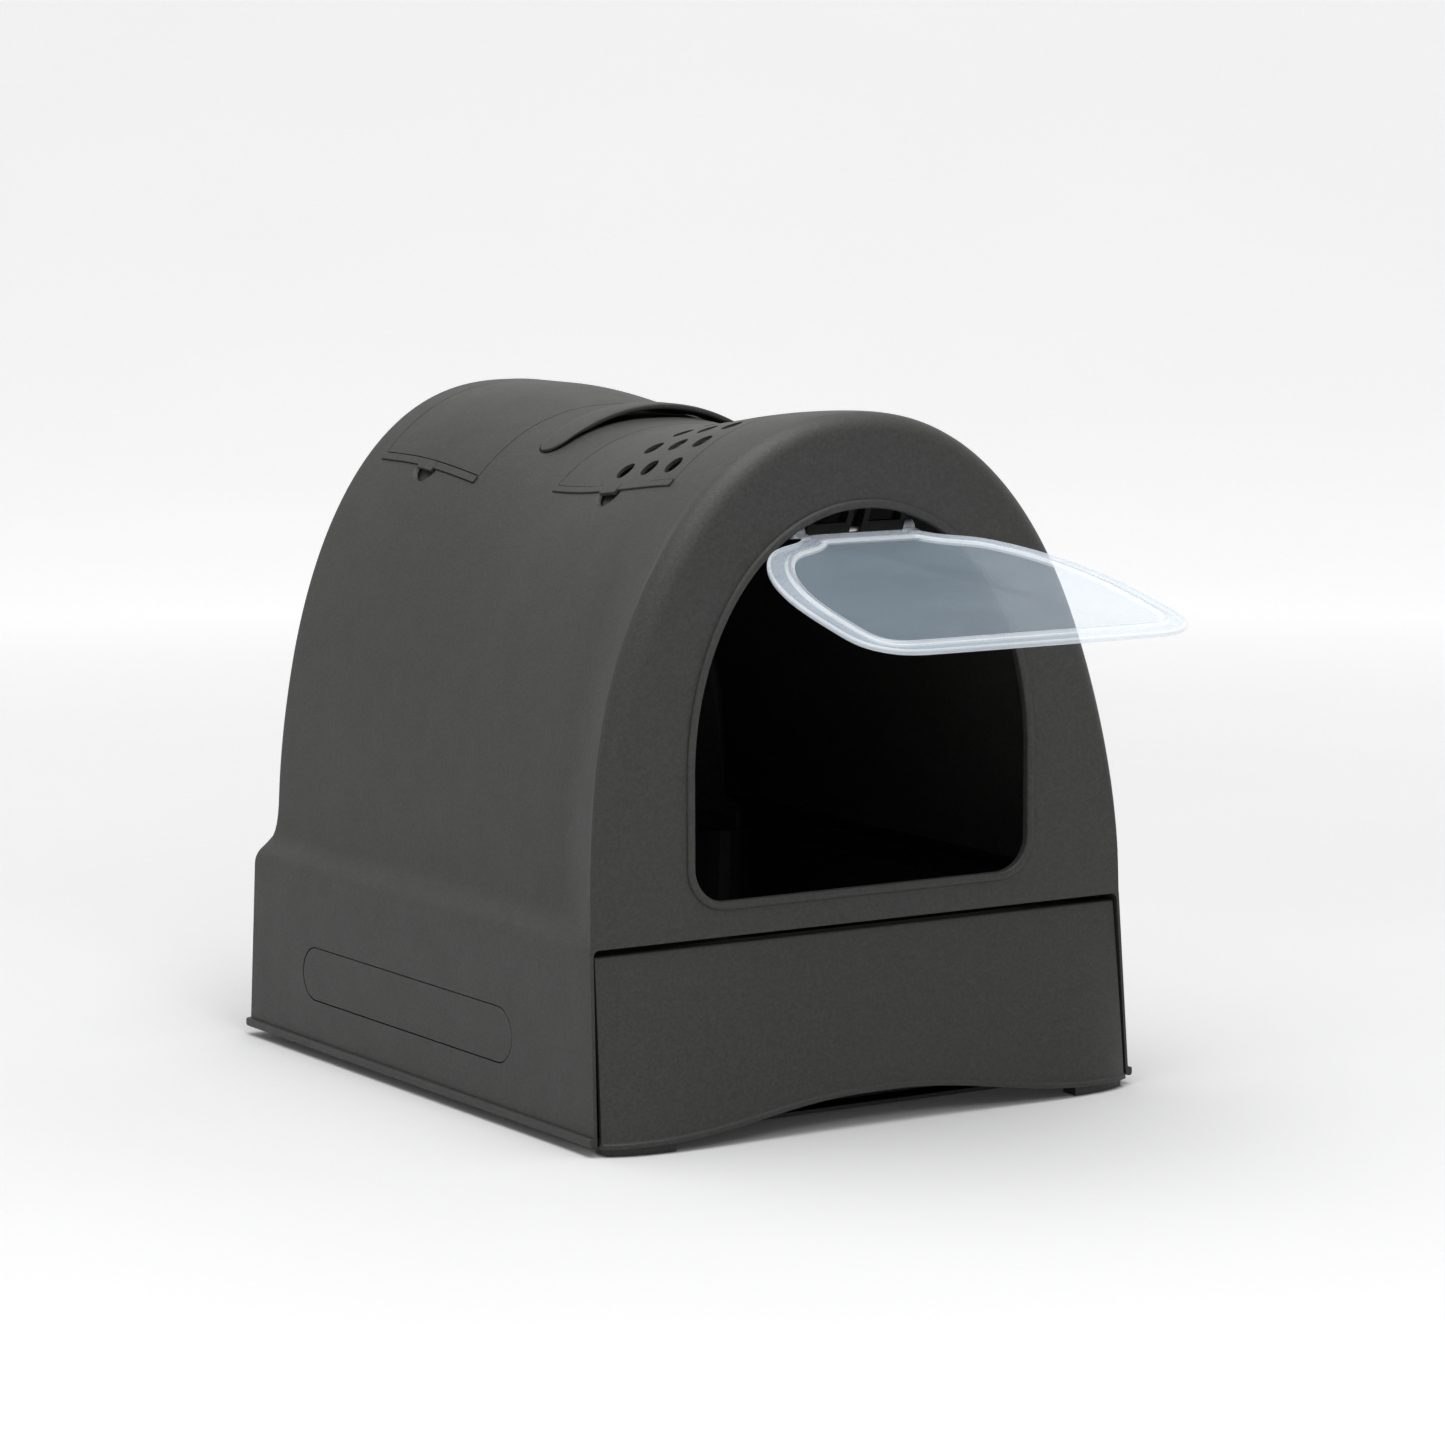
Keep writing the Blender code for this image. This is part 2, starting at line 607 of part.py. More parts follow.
def flap_outline(inset=0.0):
    """The hanging flap round its hinge at (0, 0), as x and z: narrow neck, wide shoulders, round corners."""
    top, neck, corner = 0.0075, 0.0180, 0.030
    side = [(flap_half(top), -top), (flap_half(neck), -neck)]
    for i in range(13):
        length = 0.027 + (FLAP_LENGTH - corner - 0.027) * i / 12
        side.append((flap_half(length), -length))
    x = side[-1][0]
    for i in range(1, 7):
        a = pi / 2 * i / 6
        side.append((x - corner + corner * cos(a), -FLAP_LENGTH + corner - corner * sin(a)))
    outline = [(-u, v) for u, v in side] + list(reversed(side))
    return [tuple(point) for point in offset_ring(outline, inset)]


def ring_skin(outer, inner, axis, low, high):
    """A frame between two outlines of the same number of points."""
    count = len(outer)
    points = []
    for outline, level in ((outer, low), (inner, low), (inner, high), (outer, high)):
        points += [tuple(np.insert(np.array(p, float), axis, level)) for p in outline]
    faces = []
    for band in range(4):
        for j in range(count):
            k, over = (j + 1) % count, (band + 1) % 4
            faces.append((band * count + j, band * count + k, over * count + k, over * count + j))
    return points, faces


def make_flap(finish, metal):
    sheet = FLAP_SHEET / 2
    flap = solid("entry_flap", *prism(flap_outline(), 1, -sheet, sheet), finish)
    ridge = ring_skin(flap_outline(0.0115), flap_outline(0.0150), 1, -sheet - 0.0016, 0.0003)
    rim = ring_skin(flap_outline(0.0010), flap_outline(0.0034), 1, -0.0004, sheet + 0.0014)
    ears = []
    for low in (-0.0437, 0.0361):
        ears.append(box_skin((low, -0.7 * sheet, -0.012), (low + 0.0076, 0.7 * sheet, 0.0)))
    barrels = [prism(circle((0.0, 0.0), 0.0040), 0, low, low + 0.0080) for low in (-0.0439, 0.0359)]
    bore = prism(circle((0.0, 0.0), ROD_RADIUS + GAP), 0, -0.06, 0.06)
    steps = (
        ("flap_ridge", ridge, "UNION"), ("flap_rim", rim, "UNION"), ("flap_ears", merged(ears), "UNION"),
        ("flap_barrels", merged(barrels), "UNION"), ("flap_bore", bore, "DIFFERENCE"),
    )
    for name, skin, operation in steps:
        helper = tool(name, *skin)
        helper.parent = flap
        boolean(flap, helper, operation)
    flap.location = (0.0, FLAP_Y, FLAP_Z)
    flap.rotation_euler = (-FLAP_OPEN, 0.0, 0.0)
    rod = prism(circle((FLAP_Y, FLAP_Z), ROD_RADIUS), 0, -0.0455, 0.0455)
    solid("flap_hinge_rod", *rod, metal)
    return flap


def make_flap_brackets(finish):
    wall = FRONT_Y + FRONT_WALL + GAP
    outline = [
        (wall, 0.404), (wall, 0.3800), (wall + 0.0025, 0.3720), (FLAP_Y - 0.0042, FLAP_Z - 0.0002),
        (FLAP_Y - 0.0025, FLAP_Z - 0.0038), (FLAP_Y + 0.0025, FLAP_Z - 0.0038), (FLAP_Y + 0.0044, FLAP_Z),
        (FLAP_Y + 0.0036, FLAP_Z + 0.0035), (wall + 0.0035, 0.3850), (wall + 0.0030, 0.404),
    ]
    for name, low, high in (("left", -0.0353, -0.0040), ("right", 0.0040, 0.0353)):
        bracket = solid("flap_bracket_" + name, *prism(outline, 0, low, high), finish)
        hole = prism(circle((FLAP_Y, FLAP_Z), ROD_RADIUS + GAP), 0, low - 0.01, high + 0.01)
        boolean(bracket, tool("bracket_hole_" + name, *hole), "DIFFERENCE")
        window = box_skin((low + 0.004, wall - 0.01, FLAP_Z + 0.0048), (high - 0.004, FLAP_Y + 0.02, 0.379))
        boolean(bracket, tool("bracket_window_" + name, *window), "DIFFERENCE")


# ---------------------------------------------------------------- drawer
def panel_low(x):
    """Lower edge of the drawer front, which arches up in the middle as a finger grip."""
    return PANEL_LOW + PANEL_WAVE * np.exp(-((abs(x) / PANEL_WAVE_HALF) ** 2.5))


def panel_y(x, z):
    """The drawer front's outer face: it leans out towards its foot and bulges between its ends."""
    share = (PANEL_TOP - z) / (PANEL_TOP - PANEL_LOW)
    end = min(abs(x) / (PANEL_HALF + 0.0022), 1.0)
    return -0.2178 - 0.0107 * share - PANEL_BULGE * share * (1 - end**10)


def make_drawer_front(finish):
    rings = []
    for i in range(-14, 15):
        along = sin(pi / 2 * i / 14)
        low = panel_low(along * PANEL_HALF)
        ring = []
        for rise, out in ((0.0, 0.0018), (0.0031, 0.0018), (0.0033, 0.0)):
            ring.append((low + rise, -out))
        ring += [(low + 0.0033 + (PANEL_TOP - low - 0.0033) * i / 4, 0.0) for i in range(1, 5)]
        ring += [(PANEL_TOP, 0.0105), (PANEL_TOP - 0.0022, 0.0105), (PANEL_TOP - 0.0022, WALL)]
        ring += [(low + (PANEL_TOP - low) * i / 4, WALL) for i in (3, 2, 1)] + [(low, WALL)]
        points = []
        for z, depth in ring:
            x = along * (PANEL_HALF + 0.0022 * (PANEL_TOP - z) / (PANEL_TOP - PANEL_LOW))
            points.append((x, panel_y(x, z) + depth, z))
        rings.append(points)
    return solid("drawer_front", *loft(rings), finish)


def make_glides(finish):
    for side, name in ((-1, "left"), (1, "right")):
        rings = []
        for i in range(7):
            x = side * (0.147 + 0.0425 * i / 6)
            top = panel_low(x) - GAP
            front = panel_y(x, top) + 0.0015
            back = front + 0.013
            rings.append([(x, front, GLIDE_LOW), (x, back, GLIDE_LOW), (x, back, top), (x, front, top)])
        solid("drawer_glide_" + name, *loft(rings), finish)


def make_pan(finish):
    front, rear = PAN_FRONT_Y, PAN_REAR_Y
    middle, half_y = (front + rear) / 2, (rear - front) / 2
    levels = (
        (PAN_LOW, PAN_RIM_X - 0.0160, 0.0150, 0.026),
        (PAN_LOW + 0.012, PAN_RIM_X - 0.0120, 0.0110, 0.026),
        (PAN_TOP - 0.0022, PAN_RIM_X - 0.0050, 0.0050, 0.026),
        (PAN_TOP - 0.0022, PAN_RIM_X, 0.0, 0.028),
        (PAN_TOP, PAN_RIM_X, 0.0, 0.028),
        (PAN_TOP, PAN_RIM_X - 0.0075, 0.0075, 0.024),
        (PAN_LOW + 0.013, PAN_RIM_X - 0.0145, 0.0135, 0.024),
        (PAN_LOW + WALL, PAN_RIM_X - 0.0185, 0.0175, 0.024),
    )
    rings = []
    for z, half_x, back, radius in levels:
        outline = rounded(half_x, half_y - back, radius, (0.0, middle))
        rings.append([(x, y, z) for x, y in outline])
    return solid("litter_pan", *loft(rings), finish)


# ---------------------------------------------------------------- base
def tray_outline(margin, front, radius=0.010):
    """Straight at the open front, rounded at the rear."""
    half, rear = TRAY_X - margin, TRAY_REAR_Y - margin
    arc = [pi / 2 * i / 5 for i in range(6)]
    right = [(half - radius + radius * cos(a), rear - radius + radius * sin(a)) for a in arc]
    left = [(-half + radius - radius * sin(a), rear - radius + radius * cos(a)) for a in arc]
    return [(-half, front), (half, front)] + right + left


def make_tray(finish):
    tray = solid("base_tray", *prism(tray_outline(0.0, TRAY_FRONT_Y), 2, FOOT_HIGH, TRAY_TOP), finish)
    hollow = prism(tray_outline(WALL, TRAY_FRONT_Y - 0.05, 0.008), 2, FOOT_HIGH + WALL, 0.2)
    boolean(tray, tool("tray_hollow", *hollow), "DIFFERENCE")
    rails = []
    for side in (-1, 1):
        low = (side * 0.140 - 0.004, TRAY_FRONT_Y + 0.004, FOOT_HIGH + WALL - 0.0006)
        high = (side * 0.140 + 0.004, TRAY_REAR_Y - 0.012, PAN_LOW - GAP)
        rails.append(box_skin(low, high))
    boolean(tray, tool("tray_rails", *merged(rails)), "UNION")
    holes = [prism(circle((y, LATCH_Z), POST_RADIUS + 0.0006), 0, -0.2, 0.2) for y in latch_post_places()]
    boolean(tray, tool("post_holes", *merged(holes)), "DIFFERENCE")
    return tray


def make_feet(finish):
    places = {
        "foot_front_left": (-0.158, -0.188), "foot_front_right": (0.158, -0.188),
        "foot_rear_left": (-0.158, 0.190), "foot_rear_right": (0.158, 0.190), "foot_centre": (0.0, 0.0),
    }
    for name, (x, y) in places.items():
        rings = []
        for z, inset in ((0.0, 0.0008), (0.0010, 0.0), (FOOT_HIGH - GAP, 0.0)):
            outline = rounded(0.022 - inset, 0.014 - inset, 0.006 - inset, (x, y), 4)
            rings.append([(u, v, z) for u, v in outline])
        solid(name, *loft(rings), finish)


def latch_post_places():
    return (LATCH_Y - 0.095, LATCH_Y + 0.095)


def make_latches(finish):
    """Pill-shaped press panels, flush in the skirt, on two posts that run in the tray's wall."""
    outline = stadium(LATCH_Y, LATCH_Z, LATCH_HALF_LONG - LATCH_SEAM, LATCH_HALF_TALL - LATCH_SEAM)
    for side, name in ((-1, "left"), (1, "right")):
        rings = []
        for depth in (0.0001, WALL):
            rings.append([(side * (skirt_x(z) - depth), y, z) for y, z in outline])
        panel = solid("side_latch_" + name, *loft(rings), finish)
        posts = []
        for y in latch_post_places():
            ends = sorted((side * (skirt_x(LATCH_Z) - 0.0012), side * (TRAY_X - 0.0018)))
            posts.append(prism(circle((y, LATCH_Z), POST_RADIUS), 0, *ends))
        boolean(panel, tool("latch_posts_" + name, *merged(posts)), "UNION")


# ---------------------------------------------------------------- assembly
def hang(names, empty_name, place):
    """Parents pieces to an empty that stands on their joint's axis."""
    holder = bpy.data.objects.new(empty_name, None)
    holder.location = place
    bpy.context.scene.collection.objects.link(holder)
    for name in names:
        piece = bpy.data.objects[name]
        piece.parent = holder
        piece.matrix_parent_inverse = Matrix.Translation(-Vector(place))


def main():
    for existing in list(bpy.data.objects):
        bpy.data.objects.remove(existing, do_unlink=True)
    charcoal = material("charcoal_plastic", (0.052, 0.051, 0.049), 0.62)
    dark = material("dark_plastic", (0.030, 0.030, 0.030), 0.70)
    clear = material("frosted_flap", (0.62, 0.68, 0.74), 0.28, 0.45)
    carbon = material("carbon_felt", (0.012, 0.012, 0.012), 0.95)
    rubber = material("foot_rubber", (0.018, 0.018, 0.018), 0.85)
    steel = material("steel_pin", (0.55, 0.55, 0.56), 0.35)
    make_hood(charcoal)
    make_lid("filter_lid", FILTER_LID, charcoal, vent_skins())
    make_lid("storage_lid", STORAGE_LID, charcoal, None)
    make_lid_pin("filter_lid_pin", FILTER_LID, steel)
    make_lid_pin("storage_lid_pin", STORAGE_LID, steel)
    make_filter_cradle(dark)
    make_carbon_filter(carbon)
    make_storage_bin(dark)
    make_handle(charcoal, steel)
    make_flap(clear, steel)
    make_flap_brackets(dark)
    make_drawer_front(charcoal)
    make_pan(dark)
    make_glides(dark)
    make_tray(dark)
    make_feet(rubber)
    make_latches(charcoal)
    drawer = ("drawer_front", "litter_pan", "drawer_glide_left", "drawer_glide_right")
    hang(drawer, "drawer_slide", (0.0, FRONT_Y, 0.06))
    hang(("side_latch_left",), "latch_left_press", (-SKIRT_TOP_X, LATCH_Y, LATCH_Z))
    hang(("side_latch_right",), "latch_right_press", (SKIRT_TOP_X, LATCH_Y, LATCH_Z))


main()
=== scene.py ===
"""Looks of the hooded cat litter box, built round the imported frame.

The visible mouldings are rebuilt here more finely, in the frame's own metres. +Z is up; the entry faces -Y.
"""

from math import cos, pi, radians, sin, sqrt

import bmesh
import bpy
import numpy as np
from mathutils import Matrix, Vector


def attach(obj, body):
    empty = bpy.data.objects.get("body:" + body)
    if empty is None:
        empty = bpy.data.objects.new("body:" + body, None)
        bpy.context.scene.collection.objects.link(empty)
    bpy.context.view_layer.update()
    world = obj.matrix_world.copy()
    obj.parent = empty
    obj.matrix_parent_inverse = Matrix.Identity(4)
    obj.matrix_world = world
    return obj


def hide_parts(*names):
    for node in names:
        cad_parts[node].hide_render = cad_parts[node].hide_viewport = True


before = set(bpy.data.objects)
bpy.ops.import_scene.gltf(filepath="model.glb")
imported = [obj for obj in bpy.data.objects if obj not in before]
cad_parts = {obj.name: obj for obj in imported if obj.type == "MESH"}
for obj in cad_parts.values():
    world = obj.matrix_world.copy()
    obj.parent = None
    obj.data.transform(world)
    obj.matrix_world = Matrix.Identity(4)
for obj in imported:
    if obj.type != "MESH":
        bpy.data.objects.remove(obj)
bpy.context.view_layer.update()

# ---------------------------------------------------------------- dimensions shared with the frame
WALL = 0.0025            # moulded wall
FRONT_WALL = 0.003       # the hood's face round the entry
LIP_HALF = 0.200
LIP_LOW, LIP_HIGH = 0.006, 0.0115
SKIRT_LOW_X, SKIRT_TOP_X, SKIRT_TOP_Z = 0.1972, 0.1945, 0.123
DOME_X, DOME_Z = 0.1768, 0.137
CREST_Z, SADDLE, DOME_POWER = 0.434, 0.0175, 2.05
FRONT_Y, REAR_Y = -0.2195, 0.2225
FRONT_FOOT_Y, REAR_FOOT_Y = -0.2275, 0.2275
ENTRY_HALF, ENTRY_LOW, ENTRY_SPRING, ENTRY_TOP = 0.122, 0.144, 0.220, 0.3765
ENTRY_POWER, ENTRY_BEAD, ENTRY_CORNER = 2.05, 0.0052, 0.022
BEAD_PROUD = 0.0022      # how far the entry bead stands out of the hood's face
DRAWER_TOP = 0.1228
PANEL_TOP, PANEL_LOW, PANEL_HALF = 0.1183, 0.0047, 0.1905
PANEL_BULGE, PANEL_WAVE, PANEL_WAVE_HALF = 0.0128, 0.0159, 0.1034
PANEL_RIM, PANEL_RIM_OUT = 0.0032, 0.0018
FLAP_Y, FLAP_Z, FLAP_OPEN = -0.205, 0.3625, radians(76)
FLAP_LENGTH, FLAP_SHEET, FLAP_EYE = 0.2095, 0.0016, 0.0023
FILTER_LID = (0.1015, -0.1600, -0.0190)     # half width, front and rear edge
STORAGE_LID = (0.1080, 0.0715, 0.1960)
LID_SEAM, LID_THICK = 0.0006, 0.0022
VENT_RADIUS, VENT_FRONT_Y, VENT_PITCH_Y = 0.0070, -0.1417, 0.0284
VENT_X, VENT_ROWS = (0.0878, 0.0672, 0.0457, 0.0230, 0.0), 3
HINGE_LIFT, HINGE_HALF, EAR_WIDE = 0.0055, 0.014, 0.006
EYE_RADIUS, BARREL_RADIUS = 0.0018, 0.0036
SCOOP_BALL, SCOOP_LIFT = 0.0165, 0.0098     # each finger scoop is a dish: a ball this far above the dome
BAR_WIDE = 0.0030        # the raised bar along each lid's free edge
TAB_HALF = 0.0095        # half length of the tab over the scoop
STRAP_Y, STRAP_HALF_Y, STRAP_HALF_X = 0.031, 0.0125, 0.080
STRAP_TOP_Z, STRAP_ARC = 0.4275, 0.130
STRAP_THICK, STRAP_END_THICK = 0.0042, 0.0026
STRAP_SEAT = 0.0012      # the shallow seats round the strap's ends
STRAP_RIB = 0.0027       # the stiffening rib below the strap's rear edge
TROUGH_HALF, TROUGH_REACH = 0.0105, 0.0560  # the shallow hollow in the dome below the strap
LATCH_Y, LATCH_Z, LATCH_HALF_LONG, LATCH_HALF_TALL = 0.0113, 0.0553, 0.1388, 0.0178
LATCH_SEAM = 0.0006


# ---------------------------------------------------------------- mesh helpers
def solid(name, points, faces, smooth_under=30):
    """A closed mesh object with its faces turned outwards."""
    mesh = bpy.data.meshes.new(name)
    mesh.from_pydata([tuple(p) for p in points], [], [tuple(f) for f in faces])
    work = bmesh.new()
    work.from_mesh(mesh)
    bmesh.ops.recalc_face_normals(work, faces=work.faces)
    if work.calc_volume(signed=True) < 0:
        bmesh.ops.reverse_faces(work, faces=work.faces)
    work.to_mesh(mesh)
    work.free()
    mesh.shade_smooth()
    mesh.set_sharp_from_angle(angle=radians(smooth_under))
    made = bpy.data.objects.new(name, mesh)
    bpy.context.scene.collection.objects.link(made)
    return made


def apply_modifiers(made, smooth_under=30):
    """Replaces a mesh by what its modifiers make of it."""
    graph = bpy.context.evaluated_depsgraph_get()
    mesh = bpy.data.meshes.new_from_object(made.evaluated_get(graph))
    made.modifiers.clear()
    made.data = mesh
    mesh.shade_smooth()
    mesh.set_sharp_from_angle(angle=radians(smooth_under))
    return made


def combine(made, skin, operation):
    """One exact Boolean, applied at once; the helper is deleted."""
    helper = solid("helper", *skin)
    step = made.modifiers.new("combine", "BOOLEAN")
    step.operation = operation
    step.solver = "EXACT"
    step.object = helper
    apply_modifiers(made)
    bpy.data.objects.remove(helper, do_unlink=True)
    return made


def soften(made, width, angle=40, segments=3):
    """Rounds the sharp edges as a mould does."""
    step = made.modifiers.new("soften", "BEVEL")
    step.width = width
    step.segments = segments
    step.limit_method = "ANGLE"
    step.angle_limit = radians(angle)
    step.use_clamp_overlap = True
    step.harden_normals = False
    return made


def loft(rings, ladder=False, closed=False):
    """Points and faces of a closed skin through rings of equal length; ladder caps join mirrored points."""
    count = len(rings[0])
    points = [p for ring in rings for p in ring]
    faces = []
    spans = len(rings) if closed else len(rings) - 1
    for i in range(spans):
        after = (i + 1) % len(rings)
        for j in range(count):
            k = (j + 1) % count
            faces.append((i * count + j, i * count + k, after * count + k, after * count + j))
    if closed:
        return points, faces
    for base in (0, (len(rings) - 1) * count):
        if not ladder:
            faces.append(tuple(base + j for j in range(count)))
            continue
        for j in range((count - 1) // 2):
            far = count - 1 - j
            corners = dict.fromkeys((base + j, base + j + 1, base + far - 1, base + far))
            faces.append(tuple(corners))
    return points, faces


def prism(outline, axis, low, high):
    """An outline extruded along one axis; the outline holds the other two coordinates."""
    rings = []
    for level in (low, high):
        rings.append([tuple(np.insert(np.array(p, float), axis, level)) for p in outline])
    return loft(rings)


def local_prism(point, axes, outline, low, high):
    """An outline extruded along the third of three local axes."""
    rings = []
    for level in (low, high):
        rings.append([tuple(point + axes[0] * u + axes[1] * v + axes[2] * level) for u, v in outline])
    return loft(rings)


def circle(centre, radius, sides=40):
    turns = [2 * pi * (i + 0.5) / sides for i in range(sides)]
    return [(centre[0] + radius * cos(a), centre[1] + radius * sin(a)) for a in turns]


def ball(centre, radius, rows=28, sides=56):
    """A sphere, with a small flat at each pole."""
    rings = []
    for i in range(1, rows):
        a = pi * i / rows
        flat = circle((centre[0], centre[1]), radius * sin(a), sides)
        rings.append([(x, y, centre[2] + radius * cos(a)) for x, y in flat])
    return loft(rings)


def rounded(half_x, half_y, radius, steps=8):
    """A rounded rectangle round the origin, anticlockwise."""
    outline = []
    for corner in range(4):
        sx, sy = ((1, 1), (-1, 1), (-1, -1), (1, -1))[corner]
        for i in range(steps + 1):
            a = pi / 2 * (corner + i / steps)
            x = sx * (half_x - radius) + radius * cos(a)
            outline.append((x, sy * (half_y - radius) + radius * sin(a)))
    return outline


def stadium(centre_y, centre_z, half_long, half_tall, steps=24):
    """A pill outline in y and z."""
    outline = []
    for side in (1, -1):
        for i in range(steps + 1):
            a = -side * pi / 2 + pi * i / steps
            y = centre_y + side * (half_long - half_tall) + half_tall * cos(a)
            outline.append((y, centre_z + half_tall * sin(a)))
    return outline


def merged(parts):
    """Several separate closed skins as one."""
    points, faces = [], []
    for more_points, more_faces in parts:
        offset = len(points)
        points += list(more_points)
        faces += [tuple(offset + i for i in face) for face in more_faces]
    return points, faces


def offset_ring(ring, distance):
    """A closed 2-D ring moved along its own normals; a positive distance shrinks an anticlockwise ring."""
    ring = np.array(ring, float)
    before, after = np.roll(ring, 1, axis=0), np.roll(ring, -1, axis=0)
    first, second = ring - before, after - ring
    first /= np.linalg.norm(first, axis=1)[:, None]
    second /= np.linalg.norm(second, axis=1)[:, None]
    normal = np.stack([-first[:, 1] - second[:, 1], first[:, 0] + second[:, 0]], axis=1)
    length = np.linalg.norm(normal, axis=1)
    normal /= length[:, None]
    reach = np.broadcast_to(np.asarray(distance, float), length.shape) / np.maximum(length / 2, 0.4)
    return ring + normal * reach[:, None]


def ease(low, high, value):
    t = min(max((value - low) / (high - low), 0.0), 1.0)
    return t * t * (3 - 2 * t)


# ---------------------------------------------------------------- the dome's shape
def dome_size(y):
    """Half width, foot height, crest height and side power of the dome's section at this y."""
    flare = min(max((-0.155 - y) / 0.0645, 0.0), 1.0) ** 2
    dip = sin(pi * min(max((y + 0.205) / 0.375, 0.0), 1.0)) ** 2
    half = DOME_X + (SKIRT_TOP_X - 0.0003 - DOME_X) * flare
    foot = DOME_Z + (SKIRT_TOP_Z + 0.0015 - DOME_Z) * flare
    return half, foot, CREST_Z - SADDLE * dip, 2.4 - 0.2 * flare


def dome_height(x, y):
    half, foot, crest, side = dome_size(y)
    rise = 1 - min(abs(x) / half, 1.0) ** side
    return foot + (crest - foot) * rise ** (1 / DOME_POWER)


def dome_frame(x, y):
    """The point on the dome above (x, y) and its outward normal."""
    step = 1e-4
    slope_x = (dome_height(x + step, y) - dome_height(x - step, y)) / (2 * step)
    slope_y = (dome_height(x, y + step) - dome_height(x, y - step)) / (2 * step)
    return Vector((x, y, dome_height(x, y))), Vector((-slope_x, -slope_y, 1.0)).normalized()


def dome_point(x, y, depth):
    point, normal = dome_frame(x, y)
    return point - normal * depth


def dome_patch(half, front, rear, outer, inner, across=90, along=40, crown=0.145):
    """A curved slab that follows the dome between two depths below it."""
    reach = np.arcsin(half / crown)
    xs = [crown * sin(a) for a in np.linspace(-reach, reach, across + 1)]
    rings = []
    for y in np.linspace(front, rear, along + 1):
        top = [dome_point(x, y, outer) for x in xs]
        low = [dome_point(x, y, inner) for x in reversed(xs)]
        rings.append(top + low)
    return loft(rings, ladder=True)


def arch_points(y, count=160):
    half, foot, crest, side = dome_size(y)
    points = []
    for i in range(count + 1):
        a = pi - pi * i / count
        x = half * abs(cos(a)) ** (2 / side) * (1 if cos(a) >= 0 else -1)
        z = foot + (crest - foot) * sin(a) ** (2 / DOME_POWER) if 0 < i < count else foot
        points.append((x, z))
    return points


def skirt_x(z):
    """Half width of the skirt's outer face at this height."""
    return SKIRT_TOP_X + (SKIRT_LOW_X - SKIRT_TOP_X) * (SKIRT_TOP_Z - z) / (SKIRT_TOP_Z - LIP_LOW)


def hood_section(y, low, soft=True):
    """The hood's section, clockwise from its left foot over the dome; soft rounds its shoulders."""
    arch = arch_points(y)
    if not soft:
        left = [(-skirt_x(low), low), (-SKIRT_TOP_X, SKIRT_TOP_Z)]
        return left + arch + [(-x, z) for x, z in reversed(left)]
    foot, crease = np.array(arch[0]), np.array((-SKIRT_TOP_X, SKIRT_TOP_Z))
    left = [(-skirt_x(z), z) for z in np.linspace(low, SKIRT_TOP_Z - 0.006, 9)]
    below = np.array(left[-1])
    left += quarter_bend(below, crease, crease + (foot - crease) * 0.30)
    left += [tuple(crease + (foot - crease) * share) for share in (0.42, 0.54)]
    left += quarter_bend(crease + (foot - crease) * 0.66, foot, np.array(arch[4]))
    inner = arch[5:-5]
    return left + inner + [(-x, z) for x, z in reversed(left)]


def quarter_bend(start, corner, end, steps=6):
    """Points of a smooth bend after its start up to its end, drawn towards the corner."""
    start, corner, end = (np.array(p, float) for p in (start, corner, end))
    bend = []
    for i in range(1, steps + 1):
        t = i / steps
        bend.append(tuple(start * (1 - t) ** 2 + corner * 2 * t * (1 - t) + end * t * t))
    return bend


def leaned(y, z):
    """The skirt's front and rear lean outwards below the shoulder."""
    share = max(SKIRT_TOP_Z - z, 0.0) / (SKIRT_TOP_Z - LIP_LOW)
    if y < 0:
        return y * (1 + share * (FRONT_FOOT_Y / FRONT_Y - 1))
    return y * (1 + share * (REAR_FOOT_Y / REAR_Y - 1))


def hood_ring(y, low, inset=0.0, rounding=None, turn=0.0, sign=1):
    """One ring of the hood. With rounding, each point turns in towards the end face by its own radius."""
    section = np.array(hood_section(y, low, inset == 0.0))
    inward = np.full(len(section), float(inset))
    ys = np.full(len(section), float(y))
    if rounding is not None:
        radii = np.array([rounding(z) for x, z in section])
        inward += radii * (1 - cos(turn))
        ys += sign * radii * (1 - sin(turn))
    moved = offset_ring(section[::-1], inward)[::-1]
    moved[0, 1] = moved[-1, 1] = low
    return [(x, leaned(v, z), z) for (x, z), v in zip(moved, ys)]


def front_radius(z):
    return 0.0006 + 0.0135 * ease(0.125, 0.30, z)


def rear_radius(z):
    return 0.0020 + 0.0040 * ease(0.125, 0.25, z)


def hood_skin(inset, low, rear_y, front_y):
    """The hood's outer skin, or with an inset the hollow inside it."""
    quarter = [pi / 2 * i / 10 for i in range(11)]
    stations = list(np.linspace(0.205, -0.150, 60)) + list(np.linspace(-0.155, -0.199, 16))
    rear = [hood_ring(rear_y, low, inset, rear_radius, a, -1) for a in reversed(quarter)]
    front = [hood_ring(front_y, low, inset, front_radius, a, 1) for a in quarter]
    return loft(rear + [hood_ring(y, low, inset) for y in stations] + front, ladder=True)


# ---------------------------------------------------------------- hood
def entry_outline(grow=0.0, steps=96):
    """The entry opening as an outline in x and z, grown outwards by a margin."""
    half, low = ENTRY_HALF + grow, ENTRY_LOW - grow
    rise = ENTRY_TOP - ENTRY_SPRING + grow
    corner = ENTRY_CORNER + grow
    outline = []
    for i in range(steps + 1):
        a = pi * i / steps
        x = half * abs(cos(a)) ** (2 / ENTRY_POWER) * (1 if cos(a) >= 0 else -1)
        outline.append((x, ENTRY_SPRING + rise * max(sin(a), 0.0) ** (2 / ENTRY_POWER)))
    for centre, start in (((-half + corner, low + corner), pi), ((half - corner, low + corner), 1.5 * pi)):
        for i in range(13):
            a = start + pi / 2 * i / 12
            outline.append((centre[0] + corner * cos(a), centre[1] + corner * sin(a)))
    return outline


